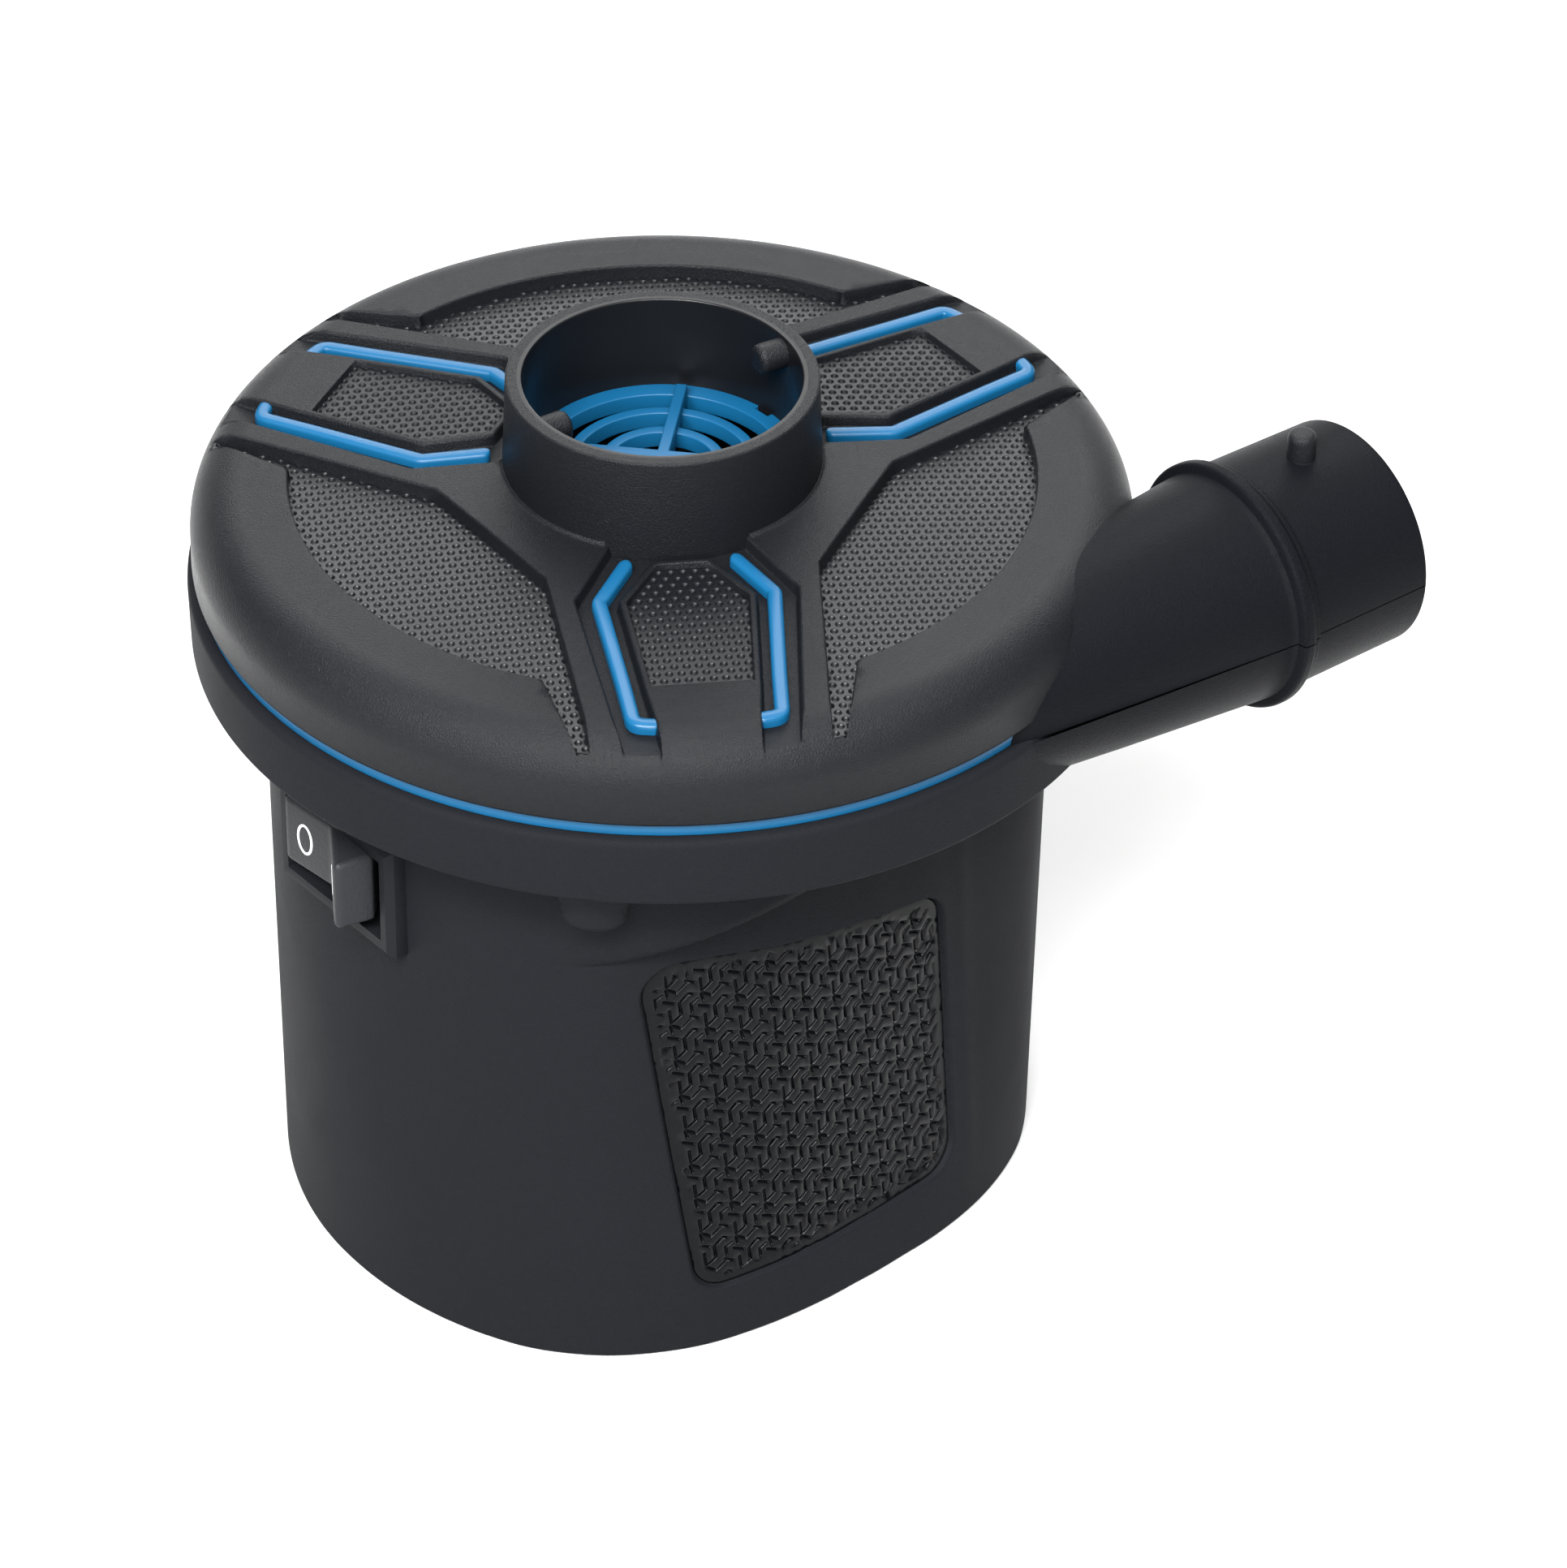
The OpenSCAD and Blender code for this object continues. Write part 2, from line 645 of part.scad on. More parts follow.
module circuit_board() {
    color([0.1, 0.4, 0.2]) translate([0, 0, 5.6]) {
        difference() {
            union() {
                translate([-17, -25.5, 0]) cube([34, 51, 1.6]);
                translate([-21.35, -3.9, 0]) cube([8, 6.2, 1.6]);
            }
            for (s = [1, -1]) translate([0, s * 22, -1]) cylinder(h = 4, r = 1.3);
            for (s = [1, -1]) translate([s * 13.6, 0, -1]) cylinder(h = 4, r = 0.85);
        }
        translate([4, 10, 1.5]) cube([7, 8, 1.8]);
        translate([-8, -16, 1.5]) cube([5, 4, 1.6]);
        translate([7, -14, 1.5]) cylinder(h = 6, r = 2.6);
        translate([-8, 12, 1.5]) cylinder(h = 5, r = 2);
    }
}

module board_screws() {
    color(steel) for (s = [1, -1]) translate([0, s * 22, 3.2]) screw(4 + e, 1, 1.9, 1.1);
}

module motor_leads() {
    color([0.6, 0.1, 0.1]) for (s = [1, -1]) translate([s * 13.6, 0, 5.2])
        cylinder(h = motor_bot + 1 - 5.2, r = 0.8);
}

module switch_leads() {
    color([0.12, 0.12, 0.12]) for (y = [-3, 1.5]) translate([0, y + 0.6, 0]) rotate([90, 0, 0])
        linear_extrude(1.2) polygon([[-21.3, 7.22], [-19.9, 7.22], [-19.9, 51.6], [-25.9, 57.6],
            [-25.9, 57.98], [-27.7, 57.98], [-27.7, 57], [-21.3, 50.9]]);
}

module charge_jack() {
    color(black) translate([face_x - 0.3, 0, jack_z]) rotate([0, 90, 0]) difference() {
        union() {
            cylinder(h = 1.2, r = 5.5);
            translate([0, 0, -9]) cylinder(h = 9.1, r = 4);
        }
        difference() {
            translate([0, 0, -7.8]) cylinder(h = 12, r = 2.85);
            translate([0, 0, -8]) cylinder(h = 8.2, r = 1);
        }
    }
}

module jack_nut() {
    color(steel) translate([face_x - 0.3 - 5.4, 0, jack_z]) rotate([0, 90, 0]) difference() {
        cylinder(h = 2, r = 6, $fn = 6);
        translate([0, 0, -1]) cylinder(h = 4, r = 4.03);
    }
}

module charge_lens() {
    color([0.75, 0.1, 0.1]) translate([41.2, 11, jack_z]) rotate([0, 90, 0]) {
        cylinder(h = 4.4, r = 1.5);
        translate([0, 0, -0.8]) cylinder(h = 0.8 + e, r = 2.1);
    }
}

// frame of the switch: x outward from the bezel front, y along the rocker, z up
module switch_frame() {
    rotate([0, 0, 180 + switch_turn]) translate([bezel_x, 0, switch_z]) children();
}

module switch_bezel() {
    color(charcoal) switch_frame() difference() {
        union() {
            translate([-2.5, 0, 0]) bezel_plate();
            translate([-15, -9.5, -6.4]) cube([13, 19, 12.8]);
        }
        translate([-13.6, -open_w, -open_h / 2]) cube([20, 2 * open_w, open_h]);
        translate([pivot_v, 0, -6]) cylinder(h = 12, r = 1.3);
        for (s = [1, -1]) translate([-16, s * 2.6 - 0.45, -2.45]) cube([3, 0.9, 4.9]);
    }
}

// flat plate with a sloping border
module bezel_plate() {
    w = bezel_w / 2;
    h = bezel_h / 2;
    intersection() {
        translate([0, -w, -h]) cube([2.5, 2 * w, 2 * h]);
        translate([0, 0, -h]) linear_extrude(2 * h)
            polygon([[0, -w], [1.7, -w], [2.5, -w + 0.8], [2.5, w - 0.8], [1.7, w], [0, w]]);
        translate([0, w, 0]) rotate([90, 0, 0]) linear_extrude(2 * w)
            polygon([[0, -h], [1.7, -h], [2.5, -h + 0.8], [2.5, h - 0.8], [1.7, h], [0, h]]);
    }
}

module switch_rocker() {
    lift = rocker_w * tan(rocker_a);
    color([0.2, 0.2, 0.21]) switch_frame() translate([pivot_v, 0, 0]) rotate([0, 0, -rocker_swing])
        translate([-pivot_v, 0, 0]) {
            translate([0, 0, -rocker_t / 2]) linear_extrude(rocker_t)
                polygon([[0, 0], [lift, -rocker_w + 0.3], [lift - 0.3, -rocker_w], [-2, -rocker_w], [-5, -3],
                         [-5, 3], [-2, rocker_w], [lift - 0.3, rocker_w], [lift, rocker_w - 0.3]]);
            translate([pivot_v, 0, -5.9]) cylinder(h = 11.8, r = 1.25);
        }
}

module switch_terminals() {
    color(brass) switch_frame() for (s = [1, -1]) translate([-22, s * 2.6 - 0.4, -2.4]) cube([9, 0.8, 4.8]);
}

top_cover();
inlet_collar();
trim_ring();
accent_strips();
inlet_grille();
body_shell();
grip_pad_front();
grip_pad_rear();
fan_deck();
impeller();
impeller_nut();
motor_can();
motor_magnets();
motor_end_cap();
motor_bushings();
motor_brushes();
motor_shaft();
armature();
commutator();
motor_screws();
battery_cells();
cell_links();
battery_cradle();
circuit_board();
board_screws();
motor_leads();
switch_leads();
charge_jack();
jack_nut();
charge_lens();
switch_bezel();
switch_rocker();
switch_terminals();
cover_screws();
deck_screws();
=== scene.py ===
"""Electric air pump for pool inflatables: visible surfaces, materials, light and camera.

Lengths in the code are millimetres in the CAD frame (+Z up, base at z = 0, +X out of the nozzle);
they become metres when a mesh is made.
"""

import json
import math

import bmesh
import bpy
import numpy as np
from mathutils import Matrix, Vector, geometry

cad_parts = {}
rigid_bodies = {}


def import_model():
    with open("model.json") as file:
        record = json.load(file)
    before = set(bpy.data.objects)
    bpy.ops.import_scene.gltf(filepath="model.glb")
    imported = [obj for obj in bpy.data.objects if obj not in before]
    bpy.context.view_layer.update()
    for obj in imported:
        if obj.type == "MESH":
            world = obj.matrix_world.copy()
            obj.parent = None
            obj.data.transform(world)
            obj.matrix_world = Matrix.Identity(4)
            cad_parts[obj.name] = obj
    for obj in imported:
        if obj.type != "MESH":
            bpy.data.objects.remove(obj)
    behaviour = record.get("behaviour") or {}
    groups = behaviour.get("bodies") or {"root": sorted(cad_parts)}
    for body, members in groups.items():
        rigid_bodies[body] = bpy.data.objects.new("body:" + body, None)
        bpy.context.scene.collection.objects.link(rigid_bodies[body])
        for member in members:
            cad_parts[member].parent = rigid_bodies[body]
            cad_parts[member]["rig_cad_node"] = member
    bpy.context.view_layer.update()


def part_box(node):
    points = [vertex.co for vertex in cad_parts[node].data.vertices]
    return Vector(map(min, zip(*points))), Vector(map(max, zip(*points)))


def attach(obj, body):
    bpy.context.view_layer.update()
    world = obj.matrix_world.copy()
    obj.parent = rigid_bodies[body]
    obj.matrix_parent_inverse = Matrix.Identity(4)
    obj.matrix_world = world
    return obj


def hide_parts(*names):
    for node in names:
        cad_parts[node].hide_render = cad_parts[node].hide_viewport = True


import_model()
MM = 0.001


def node_box(node):
    """Lowest and highest corner of a CAD node in millimetres."""
    low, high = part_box(node)
    return np.array(low) / MM, np.array(high) / MM


# ---------------------------------------------------------------- driving sizes
SEAM = node_box("trim_ring")[0][2]  # joint between casing and cover
COLLAR_TOP = node_box("inlet_collar")[1][2]
RIM_R = -node_box("body_shell")[0][0]  # rim of the casing
RIM_H = 8.7
COVER_R = RIM_R - 0.6
COVER_H = 11.65
SHOULDER_R = 6.0
CONE = math.tan(math.radians(3.0))
TRIM_TOP = SEAM + 1.65
TRIM_RI, TRIM_RO = 51.3, COVER_R - 0.65
COLLAR_R, COLLAR_RI = 17.62, 15.7
OUTLET_Y, OUTLET_X = -41.9, node_box("body_shell")[1][0]
OUTLET_R, OUTLET_RI = 13.45, 11.5
NOZZLE_SINK = 0.4  # the outlet axis lies this far below the joint
BEAD_X = 47.6
PAD_DEPTH, GROOVE_DEPTH, ISLAND_DEPTH = 1.6, 1.5, 0.7
PATTERN_R = 52.4  # the triangulated star pattern reaches out to this radius, over part of the shoulder
SPOKES = (0.0, 120.0, 240.0)
RING_START, RING_STOP = -31.0, 283.3  # the coloured ring runs round between these angles


# ---------------------------------------------------------------- mesh helpers
def new_object(name, data):
    """A mesh, light or camera as an object of the scene."""
    obj = bpy.data.objects.new(name, data)
    bpy.context.scene.collection.objects.link(obj)
    return obj


def add_piece(name, mesh, material, body="housing", node=None):
    """A mesh as a visible piece: it rides on a body and may stand in for a CAD node."""
    obj = new_object(name, mesh)
    mesh.materials.append(material)
    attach(obj, body)
    if node:
        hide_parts(node)


def add_mesh(name, verts, faces, material, body="housing", node=None, normals=None, smooth=True):
    """A piece from an array of points in millimetres and one or more arrays of faces."""
    mesh = bpy.data.meshes.new(name)
    verts = np.asarray(verts, float).reshape(-1, 3) * MM
    faces = [np.asarray(f, int) for f in (faces if isinstance(faces, list) else [faces])]
    sizes = np.concatenate([np.full(len(f), f.shape[1]) for f in faces])
    loops = np.concatenate([f.reshape(-1) for f in faces])
    mesh.vertices.add(len(verts))
    mesh.vertices.foreach_set("co", verts.reshape(-1))
    mesh.loops.add(len(loops))
    mesh.loops.foreach_set("vertex_index", loops)
    mesh.polygons.add(len(sizes))
    mesh.polygons.foreach_set("loop_start", np.concatenate([[0], np.cumsum(sizes)[:-1]]))
    mesh.update(calc_edges=True)
    mesh.polygons.foreach_set("use_smooth", np.full(len(mesh.polygons), smooth))
    if normals is not None:
        mesh.normals_split_custom_set_from_vertices(np.asarray(normals).tolist())
    add_piece(name, mesh, material, body, node)


def grid_faces(rows, cols, wrap=False, flip=False):
    """Quads of a grid of rows x cols points; wrap joins the last column to the first."""
    r, c = np.meshgrid(np.arange(rows - 1), np.arange(cols if wrap else cols - 1), indexing="ij")
    a = r * cols + c
    b = r * cols + (c + 1) % cols
    quads = np.stack([a, b, b + cols, a + cols], -1).reshape(-1, 4)
    return quads[:, ::-1] if flip else quads


def polar(r, angle, z):
    """Points from their radius, angle in radians and height."""
    return np.stack([r * np.cos(angle), r * np.sin(angle), z + 0 * angle], -1)


def lathe_grid(profile, segments, start=0.0, stop=360.0):
    """Points of a profile of (r, z) turned about z, as (len(profile), columns, 3)."""
    a = np.radians(np.linspace(start, stop, segments, endpoint=stop - start < 359.9))
    p = np.asarray(profile, float)
    return polar(p[:, :1], a, p[:, 1:])


def lathe(name, profile, material, segments=240, start=0.0, stop=360.0, place=None, node=None, flip=False,
          outside=0.0):
    """A turned piece; faces closer to the pump axis than `outside` are left away."""
    pts = lathe_grid(profile, segments, start, stop)
    rows, cols = pts.shape[:2]
    flat = pts.reshape(-1, 3)
    if place is not None:
        flat = flat @ place[0].T + place[1]
    faces = grid_faces(rows, cols, stop - start >= 359.9, flip)
    if outside:
        faces = faces[(np.hypot(flat[:, 0], flat[:, 1])[faces] > outside).any(1)]
    add_mesh(name, flat, faces, material, node=node)


def arc(cx, cy, r, a0, a1, n=8):
    """Points of an arc from angle a0 to a1, in degrees."""
    a = np.radians(np.linspace(a0, a1, n + 1))
    return [(cx + r * math.cos(t), cy + r * math.sin(t)) for t in a]


def rounded_profile(points, radii, n=5):
    """An open profile whose corners are rounded, by one radius for each point."""
    pts = [np.array(p, float) for p in points]
    out = [pts[0]]
    for i in range(1, len(pts) - 1):
        r = radii[i]
        u, w = pts[i - 1] - pts[i], pts[i + 1] - pts[i]
        lu, lw = np.linalg.norm(u), np.linalg.norm(w)
        u, w = u / lu, w / lw
        half = math.acos(float(np.clip(u @ w, -1, 1))) / 2
        t = min(r / math.tan(half), 0.49 * lu, 0.49 * lw) if half < math.pi / 2 - 1e-3 else 0
        if r <= 0 or t <= 1e-6:
            out.append(pts[i])
            continue
        for k in range(n + 1):
            f = k / n
            out.append((1 - f) ** 2 * (pts[i] + u * t) + 2 * f * (1 - f) * pts[i] + f * f * (pts[i] + w * t))
    out.append(pts[-1])
    return np.array(out)


def smoothstep(x):
    x = np.clip(x, 0.0, 1.0)
    return x * x * (3 - 2 * x)


def smooth_min(a, b, k):
    """The smaller of two heights, blended over k where they meet."""
    h = np.clip(0.5 + 0.5 * (b - a) / k, 0, 1)
    return b * (1 - h) + a * h - k * h * (1 - h)


def polygon_distance(points, polygon):
    """Distance of points from a closed polygon, negative inside."""
    p, polygon = np.asarray(points, float), np.asarray(polygon, float)
    best = np.full(len(p), 1e9)
    inside = np.zeros(len(p), bool)
    for a, b in zip(polygon, np.roll(polygon, -1, 0)):
        ab = b - a
        t = np.clip(((p - a) @ ab) / max(ab @ ab, 1e-12), 0, 1)
        best = np.minimum(best, np.hypot(*(p - a - t[:, None] * ab).T))
        crosses = (a[1] > p[:, 1]) != (b[1] > p[:, 1])
        inside ^= crosses & (p[:, 0] < a[0] + (p[:, 1] - a[1]) * ab[0] / (ab[1] or 1e-12))
    return np.where(inside, -best, best)


def offset_path(points, distance):
    """An open path moved to its left by a distance, with mitred bends."""
    p = np.asarray(points, float)
    t = np.diff(p, axis=0)
    t /= np.linalg.norm(t, axis=1)[:, None]
    n = np.stack([-t[:, 1], t[:, 0]], -1)
    joint = np.vstack([n[:1], n[:-1] + n[1:], n[-1:]])
    inner = np.vstack([n[:1], n[:-1], n[-1:]])
    return p + joint * (distance / np.maximum((joint * inner).sum(1), 0.3))[:, None]


def densify(points, step):
    """A path with extra points so that no two neighbours are further apart than step."""
    p = np.asarray(points, float)
    out = [p[:1]]
    for a, b in zip(p[:-1], p[1:]):
        n = max(int(math.ceil(np.linalg.norm(b - a) / step)), 1)
        out.append(a + (b - a) * (np.arange(1, n + 1) / n)[:, None])
    return np.vstack(out)


def triangulate(outline, paths, points):
    """Triangles inside a closed outline, with edges along every path. Returns plan points and faces."""
    verts, edges = [], []
    for path in [outline, *paths]:
        start = len(verts)
        verts += [Vector(q) for q in np.asarray(path, float).tolist()]
        edges += [(i, i + 1) for i in range(start, len(verts) - 1)]
        if path is outline:
            edges.append((len(verts) - 1, start))
    verts += [Vector(q) for q in np.asarray(points, float).reshape(-1, 2).tolist()]
    out = geometry.delaunay_2d_cdt(verts, edges, [], 0, 1e-4, False)
    xy = np.array([tuple(v) for v in out[0]])
    faces = np.array([f for f in out[2] if len(f) == 3], int)
    faces = faces[polygon_distance(xy[faces].mean(1), outline) < 0]
    u, v = xy[faces[:, 1]] - xy[faces[:, 0]], xy[faces[:, 2]] - xy[faces[:, 0]]
    area = u[:, 0] * v[:, 1] - u[:, 1] * v[:, 0]
    faces, area = faces[np.abs(area) > 1e-7], area[np.abs(area) > 1e-7]
    faces[area < 0] = faces[area < 0][:, ::-1]
    used = np.unique(faces)
    index = np.full(len(xy), -1)
    index[used] = np.arange(len(used))
    return xy[used], index[faces]


def slope_normals(height, xy, step=0.03):
    """Upward normals of a height function of plan points."""
    dx = (height(xy + [step, 0]) - height(xy - [step, 0])) / (2 * step)
    dy = (height(xy + [0, step]) - height(xy - [0, step])) / (2 * step)
    n = np.stack([-dx, -dy, np.ones(len(xy))], -1)
    return n / np.linalg.norm(n, axis=1)[:, None]


def turned(xyz, degrees):
    """Points or normals turned about z."""
    t = math.radians(degrees)
    rot = np.array([[math.cos(t), -math.sin(t), 0], [math.sin(t), math.cos(t), 0], [0, 0, 1]])
    return xyz @ rot.T


def surface_normals(point, u, v, du, dv):
    """Normals of a surface given as a function of two coordinates; v is never negative."""
    along = point(u + du, v) - point(u - du, v)
    n = np.cross(along, point(u, v + dv) - point(u, np.maximum(v - dv, 0)))
    return n / np.linalg.norm(n, axis=1)[:, None]


def cad_object(node):
    """The object that shows a CAD node."""
    return next(o for o in bpy.data.objects if o.get("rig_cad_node") == node)


def cad_bmesh(node):
    """The mesh of a CAD node in world space, with its doubled points joined."""
    bm = bmesh.new()
    bm.from_mesh(cad_object(node).data)
    bm.transform(cad_object(node).matrix_world)
    bmesh.ops.remove_doubles(bm, verts=bm.verts, dist=2e-6)
    return bm


def split_large_faces(bm):
    bmesh.ops.triangulate(bm, faces=[f for f in bm.faces if len(f.verts) > 4])


def bmesh_piece(name, bm, material, node):
    """A finished bmesh as a piece that stands in for a CAD node."""
    mesh = bpy.data.meshes.new(name)
    bm.to_mesh(mesh)
    bm.free()
    add_piece(name, mesh, material, node=node)


# ---------------------------------------------------------------- materials
GRAIN_DEEP = 0.00013  # height of the moulded grain in metres


def set_inputs(tree, node, inputs):
    """Each input takes a number, a colour or the output socket that feeds it."""
    for key, value in inputs.items():
        if isinstance(value, bpy.types.NodeSocket):
            tree.links.new(value, node.inputs[key])
        else:
            node.inputs[key].default_value = value


def shader_node(tree, kind, output, inputs, **settings):
    """Output socket of a new shader node."""
    node = tree.nodes.new("ShaderNode" + kind)
    for key, value in settings.items():
        setattr(node, key, value)
    set_inputs(tree, node, inputs)
    return node.outputs[output]


def new_material(name, color, roughness, grain, grain_scale, mottle, coat=0.0, specular=0.5, metallic=0.0,
                 wear=0.0, rough_var=0.08):
    """Finish with fine moulded grain, slow mottling, varied roughness and light edge wear."""
    mat = bpy.data.materials.new(name)
    mat.use_nodes = True
    tree = mat.node_tree
    bsdf = tree.nodes["Principled BSDF"]
    coords = shader_node(tree, "TexCoord", "Object", {})
    slow = shader_node(tree, "TexNoise", "Fac", {"Scale": 35.0, "Detail": 4.0, "Vector": coords})
    fine = shader_node(tree, "TexNoise", "Fac", {"Scale": grain_scale, "Detail": 3.0, "Roughness": 0.6,
                                                 "Vector": coords})
    smoothest, roughest = max(roughness - rough_var, 0.03), min(roughness + rough_var, 1.0)
    rough = shader_node(tree, "MapRange", "Result", {"From Min": 0.35, "From Max": 0.65, "To Min": smoothest,
                                                     "To Max": roughest, "Value": slow})
    slow_part = shader_node(tree, "Math", "Value", {0: slow, 1: 0.45}, operation="MULTIPLY")
    blend = shader_node(tree, "Math", "Value", {0: fine, 1: 0.55, 2: slow_part}, operation="MULTIPLY_ADD")
    darker = (*[c * (1 - mottle) for c in color], 1.0)
    lighter = (*[min(c * (1 + mottle) + 0.002 * mottle, 1.0) for c in color], 1.0)
    base = shader_node(tree, "Mix", "Result", {"A": darker, "B": lighter, "Factor": blend}, data_type="RGBA")
    if wear > 0:
        point = shader_node(tree, "NewGeometry", "Pointiness", {})
        edge = shader_node(tree, "MapRange", "Result", {"From Min": 0.52, "From Max": 0.42, "To Min": 0.0,
                                                        "To Max": wear, "Value": point})
        worn = (*[min(c * 1.8 + 0.02, 1.0) for c in color], 1.0)
        base = shader_node(tree, "Mix", "Result", {"A": base, "B": worn, "Factor": edge}, data_type="RGBA")
    moulded = shader_node(tree, "Bump", "Normal", {"Strength": grain, "Distance": GRAIN_DEEP, "Height": fine})
    set_inputs(tree, bsdf, {"Base Color": base, "Roughness": rough, "Metallic": metallic, "Normal": moulded,
                            "Coat Weight": coat, "Coat Roughness": 0.25, "Specular IOR Level": specular})
    return mat


CHARCOAL = new_material("charcoal_abs", (0.0042, 0.0048, 0.0060), 0.29, 1.0, 5200, 0.25, wear=0.1,
                        specular=0.13, rough_var=0.05)
CHARCOAL_GLOSS = new_material("charcoal_polished", (0.0035, 0.0038, 0.0045), 0.3, 0.06, 1200, 0.08,
                              specular=0.2)
# Darker, duller copy of the charcoal plastic for the outlet: painted shade that keeps the nozzle dark where
# the front lamps and the floor's reflection light it
NOZZLE_SHADED_PLASTIC = new_material("outlet_abs_painted_shade", (0.0030, 0.0035, 0.0046), 0.34, 1.0, 5200, 0.25, wear=0.08,
                              specular=0.03, rough_var=0.05)
ISLAND_PLASTIC = new_material("island_abs", (0.0032, 0.0037, 0.0048), 0.36, 0.3, 5200, 0.1, specular=0.16,
                              rough_var=0.05)
PAD_PLASTIC = new_material("pad_abs", (0.0036, 0.0041, 0.0052), 0.34, 0.3, 3000, 0.1, specular=0.22,
                           rough_var=0.05)
BODY_PLASTIC = new_material("casing_abs", (0.0072, 0.0078, 0.0094), 0.5, 1.0, 5200, 0.2, wear=0.08,
                            specular=0.025, rough_var=0.05)
GRIP_RUBBER = new_material("grip_rubber", (0.0016, 0.0018, 0.0024), 0.27, 0.2, 2600, 0.12, specular=0.1)
BLUE = new_material("accent_blue", (0.0028, 0.060, 0.138), 0.34, 0.08, 1200, 0.04, specular=0.25)
BLACK = new_material("inner_black", (0.006, 0.006, 0.0065), 0.35, 0.2, 1500, 0.15)
SWITCH_BLACK = new_material("switch_nylon", (0.0065, 0.007, 0.0085), 0.45, 0.35, 2600, 0.1, specular=0.06)
ROCKER = new_material("rocker_nylon", (0.013, 0.0135, 0.0155), 0.45, 0.5, 2600, 0.12, specular=0.15)
MARK = new_material("mark_white", (0.8, 0.8, 0.8), 0.5, 0.05, 900, 0.02)
STEEL = new_material("plated_steel", (0.55, 0.55, 0.57), 0.3, 0.1, 3000, 0.1, metallic=1.0)
BRASS = new_material("brass", (0.6, 0.42, 0.14), 0.32, 0.1, 2500, 0.12, metallic=1.0)
COPPER = new_material("copper_winding", (0.45, 0.16, 0.06), 0.35, 0.5, 1800, 0.25, metallic=0.8)
FERRITE = new_material("ferrite", (0.03, 0.03, 0.032), 0.6, 0.5, 2500, 0.2)
CREAM = new_material("end_cap_nylon", (0.55, 0.5, 0.4), 0.5, 0.3, 900, 0.08)
SLEEVE = new_material("cell_sleeve", (0.03, 0.16, 0.07), 0.3, 0.1, 900, 0.1, coat=0.3)
BOARD = new_material("board_mask", (0.01, 0.09, 0.035), 0.35, 0.3, 1200, 0.2, coat=0.3)
RED_WIRE = new_material("red_wire", (0.35, 0.012, 0.01), 0.4, 0.1, 900, 0.1)
RED_LENS = new_material("red_lens", (0.3, 0.01, 0.008), 0.15, 0.03, 900, 0.1, coat=0.6)
FLOOR = new_material("studio_floor", (0.5, 0.5, 0.5), 0.7, 0.02, 200, 0.005)

NODE_FINISHES = (
    (BLUE, "trim_ring inlet_grille"), (FERRITE, "motor_magnets motor_brushes"), (CREAM, "motor_end_cap"),
    (BLACK, "fan_deck impeller battery_cradle switch_leads charge_jack"), (COPPER, "armature commutator"),
    (STEEL, "impeller_nut motor_can motor_shaft motor_screws cell_links board_screws jack_nut"),
    (STEEL, "cover_screws deck_screws"), (BRASS, "motor_bushings switch_terminals"),
    (SLEEVE, "battery_cells"), (BOARD, "circuit_board"), (RED_WIRE, "motor_leads"),
    (RED_LENS, "charge_lens"), (ROCKER, "switch_rocker"), (SWITCH_BLACK, "switch_bezel"),
)
for finish, nodes in NODE_FINISHES:
    for node in nodes.split():
        cad_object(node).data.materials.clear()
        cad_object(node).data.materials.append(finish)


def rounded_copy(node, width, material, segments=3, angle=32):
    """A CAD node's shape with its sharp edges rounded, as a piece that stands in for the node."""
    bm = cad_bmesh(node)
    bmesh.ops.dissolve_limit(bm, angle_limit=math.radians(0.4), verts=bm.verts, edges=bm.edges)
    sharp = [e for e in bm.edges if len(e.link_faces) == 2 and e.calc_face_angle(0) > math.radians(angle)]
    bmesh.ops.bevel(bm, geom=sharp, offset=width * MM, segments=segments, profile=0.5, affect="EDGES",
                    clamp_overlap=True)
    split_large_faces(bm)
    for f in bm.faces:
        f.smooth = True
    for e in bm.edges:
        e.smooth = e.calc_face_angle(0) < math.radians(40)
    bmesh_piece(node + "_soft", bm, material, node)


# ---------------------------------------------------------------- cover: profile and star pattern
def cone_z(r):
    """Height of the unbroken cover top at radius r."""
    return SEAM + COVER_H + (COVER_R - SHOULDER_R - r) * CONE


def cover_z(r):
    """Height of the cover at radius r: top cone, rounded shoulder and the small fillet up to the collar."""
    flat = COVER_R - SHOULDER_R
    z = cone_z(np.minimum(r, flat))
    over = np.clip((r - flat) / SHOULDER_R, 0, 0.999999)
    z = z - SHOULDER_R * (1 - np.sqrt(1 - over**2))
    fillet = np.clip((FOOT_R + 0.6 - r) / 0.6, 0, 1)
    return z + 0.45 * (1 - np.sqrt(np.clip(1 - fillet**2, 0, 1)))


def crease_radius(depth):
    """Radius where a floor that lies `depth` below the cone comes out of the shoulder."""
    r = np.linspace(COVER_R - SHOULDER_R, COVER_R - 0.01, 4000)
    return float(r[np.argmax(cover_z(r) < cone_z(r) - depth)])


def mirrored(half):
    """A closed outline from its upper half, mirrored in the spoke's axis."""
    half = np.array(half, float)
    return np.concatenate([half, half[::-1] * [1, -1]])


def over_60(p):
    """Mirror image in the line between two spokes."""
    c, s = math.cos(math.radians(120)), math.sin(math.radians(120))
    return (p[0] * c + p[1] * s, p[0] * s - p[1] * c)


